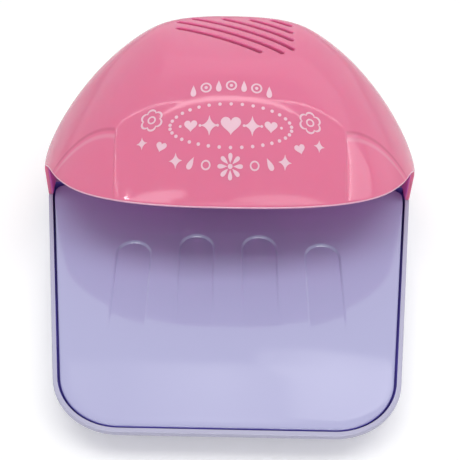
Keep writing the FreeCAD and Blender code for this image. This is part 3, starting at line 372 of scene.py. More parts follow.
# painted shade: the faces beside the gap between plate and tray are a deep violet
gap_violet_painted_shade = moulded("violet_gap_painted_shade", (0.26, 0.20, 0.80), (0.24, 0.18, 0.76), gloss=(0.4, 0.5))
white = moulded("white_blade", (0.75, 0.75, 0.77), (0.72, 0.72, 0.74), gloss=(0.3, 0.4))
black = moulded("black_moulding", (0.02, 0.02, 0.022), (0.03, 0.03, 0.03), gloss=(0.3, 0.45))
rubber = moulded("pale_rubber", (0.62, 0.62, 0.64), (0.56, 0.56, 0.58), gloss=(0.6, 0.75))
print("plastics of the hood:", pink.name, pink_inside_painted_bounce.name, pink_edge_painted_highlight.name, pink_slot_painted_glow.name)

# %% [markdown]
# ## Metal
# Springs, pins, screws and contacts are plated or drawn metal. Fine noise darkens the colour in
# places and makes the gloss uneven, as drawing and handling do.


# %% Metals
DARKER, DRAWN, SCRATCHES = 0.85, 200, 900  # share of the colour, and two noise scales


def metal(name, colour, gloss=(0.25, 0.4)):
    """Plated metal with fine drawn scratches."""
    material, tree, shader = new_material(name)
    tone = mixed(tree, noise(tree, DRAWN), colour, tuple(DARKER * c for c in colour))
    tree.links.new(tone, shader.inputs["Base Color"])
    tree.links.new(between(tree, noise(tree, SCRATCHES, 3), *gloss), shader.inputs["Roughness"])
    shader.inputs["Metallic"].default_value = 1.0
    return material


steel = metal("zinc_plate", (0.60, 0.60, 0.62))
wire_steel = metal("spring_wire", (0.50, 0.50, 0.52))
brass = metal("brass_leaf", (0.72, 0.52, 0.22))
print("metals:", steel.name, wire_steel.name, brass.name)

# %% [markdown]
# ## A finish for every solid
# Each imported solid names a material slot. One table gives every slot its finish, so the inner
# pieces are dressed too.

# %% Finishes by slot
finish = {"hood_plastic": pink, "tray_plastic": lilac, "plate_plastic": plate_lilac,
          "inner_plastic": pink_inside_painted_bounce, "fan_plastic": white, "cap_plastic": black,
          "steel": steel, "motor_steel": steel, "spring_steel": wire_steel,
          "contact_plate": steel, "brass": brass,
          "ceramic": moulded("orange_ceramic", (0.6, 0.25, 0.04), (0.55, 0.22, 0.03)),
          "cell_skin": moulded("cell_sleeve", (0.08, 0.10, 0.14), (0.07, 0.09, 0.12)),
          "rubber": rubber,
          "wire_red": moulded("red_wire", (0.5, 0.01, 0.01), (0.45, 0.01, 0.01), gloss=(0.3, 0.4)),
          "wire_black": moulded("black_wire", (0.01, 0.01, 0.01), (0.02, 0.02, 0.02)),
          "wire_blue": moulded("blue_wire", (0.01, 0.03, 0.35), (0.01, 0.03, 0.3))}
slot_of = {s["node"]: s["material_slot"] for s in frame["record"]["subparts"]}
for name, piece in node.items():
    piece.data.materials.clear()
    piece.data.materials.append(finish[slot_of[name]])
print("finishes:", len(finish))

# %% [markdown]
# ## The hood's shape
# The hood is one moulded shell: upright sides below, a dome that leans back above them, and a
# crown pressed nearly flat for the vents. Rings are the natural way to describe it. `hood_at`
# gives the point of the outer skin at one height and one angle round the ring, and `crown_over`
# finds the skin above a point of the plan, for whatever is cut or printed there.

# %% Hood surface
WALL = 2.0  # millimetres, as everything in this cell
SKIRT, SHOULDER, REACH = 15.0, 30.6, 82.7  # heights: foot, where the dome starts, its pole
HALF, WAIST, REAR, FRONT = 72.5, 30.2, 50.0, 58.0  # half width, middle, and reach both ways
BACK_HALF, FRONT_HALF = (2.28, REAR), (2.6, FRONT)  # squareness and reach of the ring's halves
LEAN = 0.45  # how far the middle goes back as a ring goes up
DOME_IN, DOME_OUT = 1.2, 1.98  # powers of the dome's profile
CROWN, CROWN_Y, CROWN_FALL = 78.2, 30.7, 0.004
PRESSED = 1.1  # how softly the dome meets the crown


def soft_min(a, b):
    """The lower of two heights, rounded where they cross."""
    low, high = min(a, b), max(a, b)
    return low - PRESSED * math.log1p(math.exp((low - high) / PRESSED))


def crown(y):
    """Height of the pressed crown, which falls away to the back."""
    return CROWN - CROWN_FALL * max(y - CROWN_Y, 0.0) ** 2


def ring(height):
    """Middle and share of the full width of the ring at a height."""
    t = min(max((height - SHOULDER) / (REACH - SHOULDER), 0.0), 1.0)
    return WAIST + LEAN * max(height - SHOULDER, 0.0), (1 - t ** DOME_IN) ** (1 / DOME_OUT)


def hood_at(height, angle):
    """Point of the outer skin on the ring at a height; angle 0 points right, 90 back."""
    middle, share = ring(height)
    c, s = math.cos(angle), math.sin(angle)
    power, reach = BACK_HALF if s > 0 else FRONT_HALF
    x = HALF * share * math.copysign(abs(c) ** (2 / power), c)
    y = middle + reach * share * math.copysign(abs(s) ** (2 / power), s)
    return x, y, soft_min(height, crown(y))


def crown_over(x, y):
    """Height of the outer skin over a point of the plan."""
    low, high = SHOULDER, REACH
    for _ in range(40):
        height = (low + high) / 2
        middle, share = ring(height)
        power, reach = BACK_HALF if y > middle else FRONT_HALF
        outside = (abs(x) / (HALF * share)) ** power + (abs(y - middle) / (reach * share)) ** power
        low, high = (low, height) if outside > 1 else (height, high)
    return soft_min(low, crown(y))


print("crown at the middle:", round(crown_over(0, 40), 2))

# %% [markdown]
# ## The lip
# The lip is the hood's front edge. Seen from the side it is a line that climbs from the tips of
# the side walls and runs on forwards, given by a few points in side view. Where a column of the
# hood meets that line is found by halving, because the skin has no formula for it.

# %% Lip's line
LIP = [(28.3, 31.3), (21.4, 36.4), (10.9, 40.6), (0.4, 44.2), (-10.6, 48.7), (-34.0, 59.0)]
ABOVE_LIP = 60.0
TIP_ANGLE = math.asin(((WAIST - LIP[0][0]) / FRONT) ** (FRONT_HALF[0] / 2))


def lip_height(y):
    """Height of the lip's line, smooth through its points."""
    for k in range(len(LIP) - 1):
        (y0, z0), (y1, z1) = LIP[k], LIP[k + 1]
        if y >= y1 or k == len(LIP) - 2:
            before = LIP[max(k - 1, 0)]
            after = LIP[min(k + 2, len(LIP) - 1)]
            m0 = (z1 - before[1]) / (y1 - before[0]) * (y1 - y0)
            m1 = (after[1] - z0) / (after[0] - y0) * (y1 - y0)
            t = (y - y0) / (y1 - y0)
            return ((2 * t ** 3 - 3 * t ** 2 + 1) * z0 + (t ** 3 - 2 * t ** 2 + t) * m0
                    + (3 * t ** 2 - 2 * t ** 3) * z1 + (t ** 3 - t ** 2) * m1)


def edge_height(angle):
    """Where a column starts: on the lip in front, at the side walls' tips behind."""
    if math.sin(angle) >= -math.sin(TIP_ANGLE) - 1e-9:
        return LIP[0][1]
    low, high = LIP[0][1] - 1, ABOVE_LIP
    for _ in range(40):
        height = (low + high) / 2
        y = hood_at(height, angle)[1]
        low, high = (height, high) if lip_height(y) > height else (low, height)
    return low


print("lip in the middle:", round(edge_height(-math.pi / 2), 2))

# %% [markdown]
# ## The hood's mesh
# A grid is rolled up into the shell. Its columns run round the hood and its rows run from the
# edge up to the crown. Behind the side walls' front edges the grid starts at the tray. In front
# of them the lowest rows are deleted and it starts on the lip, which climbs towards the middle,
# so every column of quads ends exactly on the edge. A clean edge loop is what lets Solidify and
# Bevel give a real wall with a rounded lip, where a boolean cut would leave a ragged one.

# %% Hood grid
ROWS, BAND, COLUMNS = 76, 6, 232  # rows above the edge, rows of side wall, columns
REAR_SHARE = 0.42  # columns behind the tips of the side walls
rear_columns = int(COLUMNS * REAR_SHARE)
front_columns = COLUMNS - rear_columns
angles = [-TIP_ANGLE + (math.pi + 2 * TIP_ANGLE) * k / rear_columns for k in range(rear_columns)]
angles += [math.pi + TIP_ANGLE + (math.pi - 2 * TIP_ANGLE) * k / front_columns
           for k in range(front_columns + 1)]


def below_lip(face):
    """Faces of the flat grid that would hang below the lip."""
    in_front = face.center.x > rear_columns / COLUMNS - 0.5
    return in_front and face.center.y < BAND / (ROWS + BAND) - 0.5


hood = new_grid(COLUMNS, ROWS + BAND)
pick_faces(hood, below_lip)
bpy.ops.mesh.delete(type="FACE")
bpy.ops.object.mode_set(mode="OBJECT")
for vertex in hood.data.vertices:
    column, row = cell_of(vertex, COLUMNS, ROWS + BAND)
    start = edge_height(angles[column])
    if row < BAND:
        height = SKIRT + (start - SKIRT) * row / BAND
    else:
        height = start + (REACH - start) * (1 - (1 - (row - BAND) / ROWS) ** 2)
    vertex.co = Vector(hood_at(height, angles[column])) * MM
print("columns:", COLUMNS, "rows:", ROWS + BAND)

# %% [markdown]
# The last column meets the first at the side wall's front edge, and the top row closes on one
# point of the crown, so doubles are merged before the skin gets its wall and rounded edges.

# %% Wall and rounded lip
MERGED, EDGE_ROUND, EDGE_ANGLE = 0.02, 0.55, math.radians(50)
only(hood)
bpy.ops.object.mode_set(mode="EDIT")
bpy.ops.mesh.select_all(action="SELECT")
bpy.ops.mesh.remove_doubles(threshold=MERGED * MM)
bpy.ops.mesh.normals_make_consistent(inside=False)
bpy.ops.object.mode_set(mode="OBJECT")
apply_modifier(hood, "SOLIDIFY", thickness=WALL * MM, offset=-1, use_even_offset=True)
apply_modifier(hood, "BEVEL", width=EDGE_ROUND * MM, segments=3, limit_method="ANGLE",
               angle_limit=EDGE_ANGLE, use_clamp_overlap=True)
apply_modifier(hood, "TRIANGULATE")
print("hood faces:", len(hood.data.polygons), "box:",
      [round(v * 1000, 1) for v in hood.dimensions])

# %% [markdown]
# ## Vents
# Six bowed slots let the fan breathe. The mould rounds their rims, and that soft edge is what
# catches the light. A bevel after a boolean cut tends to break up on a fine mesh, so the
# rounding goes into the cutter instead: each one is a stack of outlines that follows the crown,
# upright below and flaring out where it leaves the plastic.

# %% Slot cutters
SLOTS, SLOT_HALF, SLOT_STEPS, CAP_STEPS = 6, 0.9, 32, 8
SLOT_START, SLOT_RUN = -20.2, 42.4  # left end and length along x
SLOT_Y, SLOT_PITCH, SLANT, BOW = 48.4, 6.15, 0.62, 0.0055
VENT_FRONT, VENT_REAR = 41.0, 68.8  # the slots stay between these
SLOT_STACK = [(0.0, -6.0), (0.0, -0.55), (0.04, -0.36), (0.13, -0.19), (0.28, -0.06), (0.75, 0.2)]


def slot_outline(k, grow):
    """Closed outline of the k-th slot in plan."""
    line = []
    for i in range(SLOT_STEPS + 1):
        x = SLOT_START + SLOT_RUN * i / SLOT_STEPS
        y = SLOT_Y + SLOT_PITCH * k - SLANT * x - BOW * x * x
        if VENT_FRONT <= y <= VENT_REAR:
            along = Vector((1, -SLANT - 2 * BOW * x)).normalized()
            line.append((Vector((x, y)), along, Vector((-along.y, along.x))))
    half = SLOT_HALF + grow
    loop = [p + side * half for p, _, side in line]
    for end, turn in ((line[-1], 1), (line[0], -1)):
        p, along, side = end
        for step in range(1, CAP_STEPS):
            a = math.pi * step / CAP_STEPS
            loop.append(p + (side * math.cos(a) * turn + along * math.sin(a) * turn) * half)
        if turn == 1:
            loop += [q - across * half for q, _, across in reversed(line)]
    return loop


print("points in a slot's outline:", len(slot_outline(0, 0.0)))


# %% Slots
def slot_cutter(k):
    """Solid stack of outlines for one slot."""
    points, faces = [], []
    for grow, rise in SLOT_STACK:
        outline = slot_outline(k, grow)
        points += [Vector((p.x, p.y, crown_over(p.x, p.y) + rise)) * MM for p in outline]
    n = len(outline)
    for level in range(len(SLOT_STACK) - 1):
        for i in range(n):
            j = (i + 1) % n
            faces.append((level * n + i, level * n + j, (level + 1) * n + j, (level + 1) * n + i))
    faces.append(tuple(range(n - 1, -1, -1)))
    faces.append(tuple(range((len(SLOT_STACK) - 1) * n, len(SLOT_STACK) * n)))
    mesh = bpy.data.meshes.new("cutter")
    mesh.from_pydata(points, [], faces)
    cutter = bpy.data.objects.new("cutter", mesh)
    bpy.context.collection.objects.link(cutter)
    only(cutter)
    bpy.ops.object.mode_set(mode="EDIT")
    bpy.ops.mesh.select_all(action="SELECT")
    bpy.ops.mesh.quads_convert_to_tris()
    bpy.ops.mesh.normals_make_consistent(inside=False)
    bpy.ops.object.mode_set(mode="OBJECT")
    return cutter


for k in range(SLOTS):
    cut_off(hood, slot_cutter(k))
smooth(hood, 35)
print("hood with vents, faces:", len(hood.data.polygons))

# %% [markdown]
# The shell now takes the CAD hood's place, and its faces are shared out among the four pinks. A
# face that looks towards the middle of the shell is inside, and takes the painted bounce tint. A
# face close to the lip's line is its edge, painted pale as a highlight, and a steep face among
# the vents is a slot's wall, painted lighter as a glow.

# %% Hood's materials
INSIDE, EDGE, SLOT_WALL = 1, 2, 3  # places in the hood's list of materials
MIDDLE_Z = 45.0  # the highest point that counts as the middle
TIP_EDGE, EDGE_HALF = 27.5, 0.62  # where the lip's edge begins, half its height
VENTS_Z, VENTS_X, VENTS_Y, STEEP = 66, 24, (38, 72), 0.6
handed_over(hood, "hood", "housing", pink, "hood_shell")
for plastic in (pink_inside_painted_bounce, pink_edge_painted_highlight, pink_slot_painted_glow):
    hood.data.materials.append(plastic)
for face in hood.data.polygons:
    at = face.center / MM
    # faces inside get the bluer pink of painted bounce light
    if (at - Vector((0, ring(at.z)[0], min(at.z, MIDDLE_Z)))).dot(face.normal) < 0:
        face.material_index = INSIDE
    # faces along the lip get the painted highlight
    if at.y < TIP_EDGE and abs(at.z - lip_height(at.y)) < EDGE_HALF:
        face.material_index = EDGE
    # steep faces among the vents get the painted glow of the slot walls
    among_vents = at.z > VENTS_Z and abs(at.x) < VENTS_X and VENTS_Y[0] < at.y < VENTS_Y[1]
    if among_vents and abs(face.normal.z) < STEEP:
        face.material_index = SLOT_WALL
for index in (INSIDE, EDGE, SLOT_WALL):
    print(hood.data.materials[index].name, "faces:",
          sum(face.material_index == index for face in hood.data.polygons))

# %% [markdown]
# ## Press plate
# The plate is a very gentle bowl with a rolled edge, and four finger grooves run down into it.
# Its outline is one closed line in plan, and its section is the same all round. So the plate is
# a stack of outlines, each a little further in than the last, at the heights of the section.
# One helper closes such a stack into a solid, and the grooves' cutters use it too.


# %% Stack of outlines
def stack_of(outlines):
    """Closed solid through outlines with equal numbers of points, in millimetres."""
    across, levels = len(outlines[0]), len(outlines) - 1
    piece = new_grid(across, levels)
    for vertex in piece.data.vertices:
        column, row = cell_of(vertex, across, levels)
        vertex.co = Vector(outlines[row][column % across]) * MM
    bpy.ops.object.mode_set(mode="EDIT")
    bpy.ops.mesh.select_all(action="SELECT")
    bpy.ops.mesh.remove_doubles(threshold=0.0002 * MM)
    bpy.ops.mesh.fill_holes(sides=0)
    bpy.ops.mesh.quads_convert_to_tris()
    bpy.ops.mesh.normals_make_consistent(inside=False)
    bpy.ops.object.mode_set(mode="OBJECT")
    return piece


# %% Outline of the plate
RIM, PLATE_IN, CORNER, DISH_DEPTH = 15.0, 2.5, 24.4, 0.4  # rim height, gap, corner, bowl
CORNER_AT = Vector((35.56, -56.5))  # middle of the front corner's arc
REAR_EDGE, REAR_BEND, LEAST_BEND = 34.2, 3.5, 0.8  # rear edge and its corner
KNEE, BEND_GAP = 2.0, 0.2  # where the side turns in, room above it
REAR_N, BEND_N, KNEE_N, SIDE_N, CORNER_N, FRONT_N = 10, 8, 6, 28, 24, 12  # steps of each run
SECTION = [(2.6, 12.2), (1.2, 12.8), (0.3, 13.3), (0.05, 13.8), (0.0, 14.2), (0.04, 14.45),
           (0.12, 14.64), (0.24, 14.8), (0.4, 14.91), (0.58, 14.98), (0.8, 15.0), (1.8, 15.0),
           (3.0, 15.0)]


def on_arc(x, y, radius, angle):
    """Point of a circle in plan."""
    return Vector((x + radius * math.cos(angle), y + radius * math.sin(angle)))


def half_outline(inset, rear_inset):
    """Right half of the plate's outline, from the rear edge round to the front."""
    radius = CORNER - PLATE_IN - inset
    side = HALF - PLATE_IN - inset
    rear, bend = REAR_EDGE - rear_inset, max(REAR_BEND - inset, LEAST_BEND)
    knee = Vector((side, WAIST - KNEE))
    arm = knee - CORNER_AT
    turn = math.atan2(arm.y, arm.x) - math.acos(radius / arm.length)
    touch = on_arc(*CORNER_AT, radius, turn)
    line = [Vector(((side - bend) * k / REAR_N, rear)) for k in range(REAR_N)]
    line += [on_arc(side - bend, rear - bend, bend, math.pi / 2 * (1 - k / BEND_N))
             for k in range(BEND_N + 1)]
    start = Vector((side, WAIST if rear - bend >= WAIST else rear - bend - BEND_GAP))
    stop = knee + KNEE * (touch - knee).normalized()
    for k in range(KNEE_N + 1):
        t = k / KNEE_N
        line.append((1 - t) ** 2 * start + 2 * t * (1 - t) * knee + t ** 2 * stop)
    line += [stop.lerp(touch, k / SIDE_N) for k in range(1, SIDE_N)]
    line += [on_arc(*CORNER_AT, radius, turn + (-math.pi / 2 - turn) * k / CORNER_N)
             for k in range(CORNER_N + 1)]
    front = CORNER_AT.y - radius
    return line + [Vector((CORNER_AT.x * (1 - k / FRONT_N), front)) for k in range(1, FRONT_N)]


def plate_outline(inset, z, rear_inset=None):
    """Whole outline of the plate at one height of its section."""
    right = half_outline(inset, inset if rear_inset is None else rear_inset)
    middle = Vector((0, right[-1].y))
    left = [Vector((-p.x, p.y)) for p in reversed(right[1:])]
    return [(p.x, p.y, z) for p in right + [middle] + left]


print("points in the plate's outline:", len(plate_outline(0.0, RIM)))

# %% Plate's body
BOWL_FROM, BOWL_RUN, BOWL_STEPS = 3.0, 17.0, 14  # the bowl's slope, from the rim inwards
UPRIGHT_TO = 14.0  # below this the rear edge is upright
outlines = [plate_outline(inset, z, 0.0 if z < UPRIGHT_TO else None) for inset, z in SECTION]
for k in range(1, BOWL_STEPS + 1):
    drop = DISH_DEPTH * (1 - (1 - k / BOWL_STEPS) ** 2)
    outlines.append(plate_outline(BOWL_FROM + BOWL_RUN * k / BOWL_STEPS, RIM - drop))
plate = stack_of(outlines)
print("plate:", len(outlines), "outlines of", len(outlines[0]), "points")

# %% [markdown]
# ## Finger grooves
# Each groove is deepest at its round rear end and comes up to the bowl in front. Its upper edge
# is rounded, and that is the thin light line that shows the groove at all. As with the vents,
# the rounding is part of the cutter, so the cut leaves it finished.

# %% Grooves
DISH = RIM - DISH_DEPTH
GROOVES, GROOVE_PITCH, GROOVE_HALF = 4, 24.0, 6.87
GROOVE_RUN, GROOVE_DEPTH = 37.0, 1.1  # straight part, and depth at the rear end
GROOVE_Y, OUTER_SHORT = 1.5, 3.9  # rear end's middle; the outer two stop earlier
RUN_N, END_N, SPREAD = 20, 30, 0.004  # steps, and a rise that keeps outlines apart
GROOVE_STACK = [(-0.86, -1.0), (-0.66, -0.97), (-0.56, -0.86), (-0.16, -0.22), (0.0, -0.09),
                (0.2, -0.02), (0.42, 0.01), (1.3, 0.12)]


def groove_level(x, y, grow, share):
    """One outline of a groove's cutter; share of the local depth, negative below the bowl."""
    half, front = GROOVE_HALF + grow, y - GROOVE_RUN
    plan = [Vector((x + half, y - GROOVE_RUN * (1 - k / RUN_N))) for k in range(RUN_N)]
    plan += [on_arc(x, y, half, math.pi * k / END_N) for k in range(END_N + 1)]
    plan += [Vector((x - half, y - GROOVE_RUN * k / RUN_N)) for k in range(1, RUN_N + 1)]
    level = []
    for p in plan:
        depth = GROOVE_DEPTH * min(max((p.y - front) / (GROOVE_RUN + GROOVE_HALF), 0.0), 1.0)
        rise = share * depth if share < 0 else share
        level.append((p.x, p.y, DISH + rise + SPREAD * grow))
    return level


for k in range(GROOVES):
    x = (k - (GROOVES - 1) / 2) * GROOVE_PITCH
    y = GROOVE_Y - (OUTER_SHORT if k in (0, GROOVES - 1) else 0.0)
    cut_off(plate, stack_of([groove_level(x, y, grow, share) for grow, share in GROOVE_STACK]))
print("plate faces:", len(plate.data.polygons))

# %% [markdown]
# ## The plate's rear and underside
# Behind the hood's side walls the plate's border drops by half a millimetre, so that it
# passes under them. The step is a box cut with a small slope at its front. Below the plate sit
# its ribs, hinge arms and clips. They come from the CAD node, cut off where the plate begins.
# Faces beside the gap between plate and tray get a deep violet, the colour of light that has
# bounced between two lilac walls.


# %% Step and parts below
FAR = 90  # past the dryer's edge on any side
STEP_Y, STEP_DOWN, STEP_SLOPE = 20.0, 0.5, 0.4
PLATE_FOOT, ABOVE_RIM, ABOVE_ALL = 12.25, 0.2, 30
GAP_X, GAP_FRONT, GAP_REAR, GAP_END = 52, -66, 33.5, 36  # the gap lies outside or between these
GAP_TOP, FACES_UP = 14.45, 0.9


def whole_copy(name):
    """Copy of a CAD node's mesh with its loose triangles joined."""
    piece = bpy.data.objects.new(name + "_copy", node[name].data.copy())
    bpy.context.collection.objects.link(piece)
    only(piece)
    bpy.ops.object.mode_set(mode="EDIT")
    bpy.ops.mesh.select_all(action="SELECT")
    bpy.ops.mesh.remove_doubles(threshold=0.0005 * MM)
    bpy.ops.object.mode_set(mode="OBJECT")
    return piece


def slab(y0, z0, z1, slope=0.0):
    """Cutter across the whole dryer between two heights, its front face sloping."""
    low, top = y0 + slope, y0
    return stack_of([[(-FAR, low, z0), (FAR, low, z0), (FAR, FAR, z0), (-FAR, FAR, z0)],
                     [(-FAR, top, z1), (FAR, top, z1), (FAR, FAR, z1), (-FAR, FAR, z1)]])


def in_gap(piece, wanted):
    """Give the faces beside the gap between plate and rim their deep shade."""
    # the faces beside the gap get the painted shade
    piece.data.materials.append(gap_violet_painted_shade)
    for face in piece.data.polygons:
        at = face.center / MM
        at_border = abs(at.x) > GAP_X or at.y < GAP_FRONT or at.y > GAP_REAR
        if at_border and at.y < GAP_END and face.normal.z < FACES_UP and wanted(at, face.normal):
            face.material_index = 1


# %% Plate, stepped and dressed
cut_off(plate, slab(STEP_Y, RIM - STEP_DOWN, RIM + ABOVE_RIM, STEP_SLOPE))
smooth(plate, 26)
handed_over(plate, "plate", "plate", plate_lilac, "press_plate")
in_gap(plate, lambda at, facing: at.z < GAP_TOP)
fittings = whole_copy("press_plate")
cut_off(fittings, slab(-FAR, PLATE_FOOT, ABOVE_ALL))
smooth(fittings, 30)
handed_over(fittings, "plate_fittings", "plate", plate_lilac, "press_plate")

# %% [markdown]
# ## Tray
# The tray's solid already has the right shape. What it lacks is even shading, because a packed
# solid is loose flat triangles. A copy is merged, smoothed and given weighted normals, so that
# broad faces look flat and the rim looks round.

# %% Tray
TRAY_FROM, TRAY_TO, TRAY_Y = 9, 14.8, -10  # heights of the gap's wall, and its middle
tray = whole_copy("tray_shell")
smooth(tray, 32)
apply_modifier(tray, "WEIGHTED_NORMAL", keep_sharp=True, weight=60)
handed_over(tray, "tray", "housing", lilac, "tray_shell")
in_gap(tray, lambda at, facing: TRAY_FROM < at.z < TRAY_TO
       and facing.x * at.x + facing.y * (at.y - TRAY_Y) < 0)

# %% [markdown]
# ## Springs under the plate
# Pressing the plate shortens the two coils under it and bends the sprung leaf of the switch.
# Each stands in for its node as a merged, smoothed copy. The height that is held and what is
# left of it are listed for each, but the copies keep their node's shape.

# %% Springs under the plate
COIL_FOOT, COIL_LEFT = 3.3, 0.865  # height that is held, and what is left of it
LEAF_FOOT, LEAF_LEFT = 7.2, 0.25
for name, held_at, left in (("return_springs", COIL_FOOT, COIL_LEFT),
                            ("switch_top_leaf", LEAF_FOOT, LEAF_LEFT)):
    soft = whole_copy(name)
    smooth(soft, 40)
    handed_over(soft, name + "_soft", "housing", finish[slot_of[name]], name)
    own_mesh(soft)

# %% [markdown]
# ## Printed motifs
# The front of the dome carries a pad print in pale ink: an oval of beads round a row of hearts,
# with rosettes beside it and small motifs above and below. Ink is a film that follows the skin,
# so each motif is a flat outline laid over the dome by `crown_over` and then given a film's
# thickness. The motifs are drawn by short formulas, and every copy has its own mesh.

# %% Outlines of the motifs
PRINT_Y, PRINT_LEAN, FILM = 13.0, 0.85, 0.05  # middle, squeeze in depth, ink's thickness


def turns(points):
    """Angles once round, evenly spaced."""
    return [2 * math.pi * k / points for k in range(points)]


def disc(radius, points=28):
    """Circle."""
    return [(radius * math.cos(a), radius * math.sin(a)) for a in turns(points)]


def petals(radius, count, depth, points=96):
    """Round outline that swells into petals."""
    line = []
    for a in turns(points):
        r = radius * (1 - depth + depth * abs(math.cos(count * a / 2)) ** 0.7)
        line.append((r * math.sin(a), r * math.cos(a)))
    return line


def heart(size, points=48):
    """Heart, from the usual curve, 16 wide each way."""
    line = []
    for t in turns(points):
        x = 16 * math.sin(t) ** 3
        y = 13 * math.cos(t) - 5 * math.cos(2 * t) - 2 * math.cos(3 * t) - math.cos(4 * t)
        line.append((size * x / 16, size * (y + 2) / 16))
    return line


def sparkle(size, points=32):
    """Four-pointed star with hollow sides."""
    line = []
    for a in turns(points):
        r = 1 / (abs(math.cos(a)) ** 0.62 + abs(math.sin(a)) ** 0.62) ** (1 / 0.62)
        line.append((size * r * math.sin(a), size * 1.15 * r * math.cos(a)))
    return line


def drop(size, points=32):
    """Drop with its point up."""
    return [(0.62 * size * math.sin(t) * math.sin(t / 2) ** 1.6, size * math.cos(t))
            for t in turns(points)]


print("points in a heart:", len(heart(1.0)))

# %% [markdown]
# A motif's outline becomes the outer ring of a small grid, and the rings inside it are shrunken
# copies of the outline. A hollow motif has only two rings, close together, and so prints as a
# line. Every point then drops onto the skin.


# %% Laying a motif on the skin
FILLED = (1.0, 0.62, 0.3, 0.0)  # rings of a filled motif, as shares of its size
SUNK = 0.01  # the film starts this far inside the skin
prints = []


def printed(outline, u, v, hollow=0.0, turn=0.0):
    """Print an outline at (u, v) mm from the middle of the print, filled or as a line."""
    c, s = math.cos(turn), math.sin(turn)
    shares = (1.0, 1.0 - hollow) if hollow else FILLED
    across, levels = len(outline), len(shares) - 1
    film = new_grid(across, levels)
    for vertex in film.data.vertices:
        column, row = cell_of(vertex, across, levels)
        (a, b), share = outline[column % across], shares[row]
        x = u + share * (a * c - b * s)
        y = PRINT_Y + PRINT_LEAN * (v + share * (a * s + b * c))
        vertex.co = Vector((x, y, crown_over(x, y) - SUNK)) * MM
    bpy.ops.object.mode_set(mode="EDIT")
    bpy.ops.mesh.select_all(action="SELECT")
    bpy.ops.mesh.remove_doubles(threshold=0.001 * MM)
    bpy.ops.object.mode_set(mode="OBJECT")
    if sum(face.normal.z for face in film.data.polygons) < 0:
        film.data.flip_normals()
    prints.append(film)


# %% Oval of beads with hearts and sparkles
BEADS, OVAL_U, OVAL_V, ROW_V = 34, 21.6, 7.8, -0.6
for k in range(BEADS):
    a = 2 * math.pi * (k + 0.5) / BEADS
    printed(disc(0.62, 14), OVAL_U * math.cos(a), OVAL_V * math.sin(a) - 0.5)
for u, size in ((0, 3.6), (-14.2, 2.3), (14.2, 2.3)):
    printed(heart(size), u, -0.7)
for u in (-7.6, 7.6):
    printed(sparkle(3.2), u, ROW_V)
for u in (-17.9, -10.9, -4.7, 4.7, 10.9, 17.9):
    printed(disc(0.5, 12), u, ROW_V)
print("motifs in the oval:", len(prints))

# %% Arch above, sides and daisy below
ARCH_V, ARCH_BOW, ROSETTE = 14.6, 0.011, (28.2, 3.2)
PETALS, PETAL_REACH, DAISY_V = 8, 2.75, -14.6
for k, u in enumerate((-13.5, -9.0, -4.5, 0.0, 4.5, 9.0, 13.5)):
    rise = ARCH_V - ARCH_BOW * u * u
    if k % 2:
        printed(disc(2.0), u, rise, hollow=0.3)
        printed(disc(0.6, 12), u, rise)
    else:
        printed(drop(2.3), u, rise)
for side in (-1, 1):
    printed(petals(4.2, 6, 0.24), side * ROSETTE[0], ROSETTE[1], hollow=0.17)
    printed(disc(1.5), side * ROSETTE[0], ROSETTE[1], hollow=0.36)
    printed(heart(1.9), side * 24.6, -7.2, turn=side * 0.35)
    printed(sparkle(2.0), side * 31.5, -4.8)
    printed(disc(1.7), side * 8.6, -14.2, hollow=0.32)
    printed(drop(2.3), side * 13.9, -13.4, turn=side * 0.5)
    printed(sparkle(2.4), side * 19.3, -12.4)
for a in turns(PETALS):
    printed(drop(1.75, 24), PETAL_REACH * math.sin(a), DAISY_V + PETAL_REACH * math.cos(a),
            turn=math.pi - a)
printed(disc(0.85, 16), 0, DAISY_V)
print("motifs:", len(prints))

# %% Ink film
ink_print = joined(prints)
apply_modifier(ink_print, "SOLIDIFY", thickness=FILM * MM, offset=1)
smooth(ink_print, 40)
ink = moulded("pale_ink", (0.87, 0.57, 0.67), (0.84, 0.52, 0.63), gloss=(0.3, 0.42), wave=0.004)
handed_over(ink_print, "ink_print", "housing", ink)

# %% [markdown]
# ## Posts under the hood
# Four posts hang from the hood's skin down to the tray, and the housing screws turn into them.
# Each is a tube with a bore for its screw. It starts as a cylinder. The bore is inset and
# extruded at its foot, and its top follows the skin above it.


# %% Posts
POST_RADIUS, POST_WALL, BORE_DEPTH, IN_SKIN, POST_ROUND = 3.6, 2.35, 7.0, 1.2, 0.3
FOOT_LEVEL, BORE_LEVEL = -0.5, -0.1  # the cylinder's foot and the bore's end, for now
FOOT_GAP = 0.05  # between the post and the tray's rim
POST_PLACES = ((50.0, 46.5), (-50.0, 46.5), (41.0, 66.0), (-41.0, 66.0))


def post(x, y):
    """Screw post with a bore, from the tray's rim up into the skin."""
    bpy.ops.object.select_all(action="DESELECT")
    bpy.ops.mesh.primitive_cylinder_add(vertices=40, radius=POST_RADIUS * MM, depth=1 * MM)
    tube = bpy.context.object
    pick_faces(tube, lambda face: face.normal.z < -0.9)
    bpy.ops.mesh.inset(thickness=POST_WALL * MM)
    bpy.ops.mesh.extrude_region_move(
        TRANSFORM_OT_translate={"value": (0, 0, (BORE_LEVEL - FOOT_LEVEL) * MM)})
    bpy.ops.object.mode_set(mode="OBJECT")
    heights = {FOOT_LEVEL: RIM + FOOT_GAP, BORE_LEVEL: RIM + BORE_DEPTH}
    for vertex in tube.data.vertices:
        px, py, level = vertex.co.x / MM + x, vertex.co.y / MM + y, vertex.co.z / MM
        height = heights.get(round(level, 2))
        if height is None:
            height = crown_over(px, py) - IN_SKIN
        vertex.co = Vector((px, py, height)) * MM
    return tube


hood_posts = joined([post(x, y) for x, y in POST_PLACES])
apply_modifier(hood_posts, "BEVEL", width=POST_ROUND * MM, segments=2, limit_method="ANGLE",
               angle_limit=EDGE_ANGLE)
smooth(hood_posts, 40)
handed_over(hood_posts, "hood_posts", "housing", pink, "hood_shell")

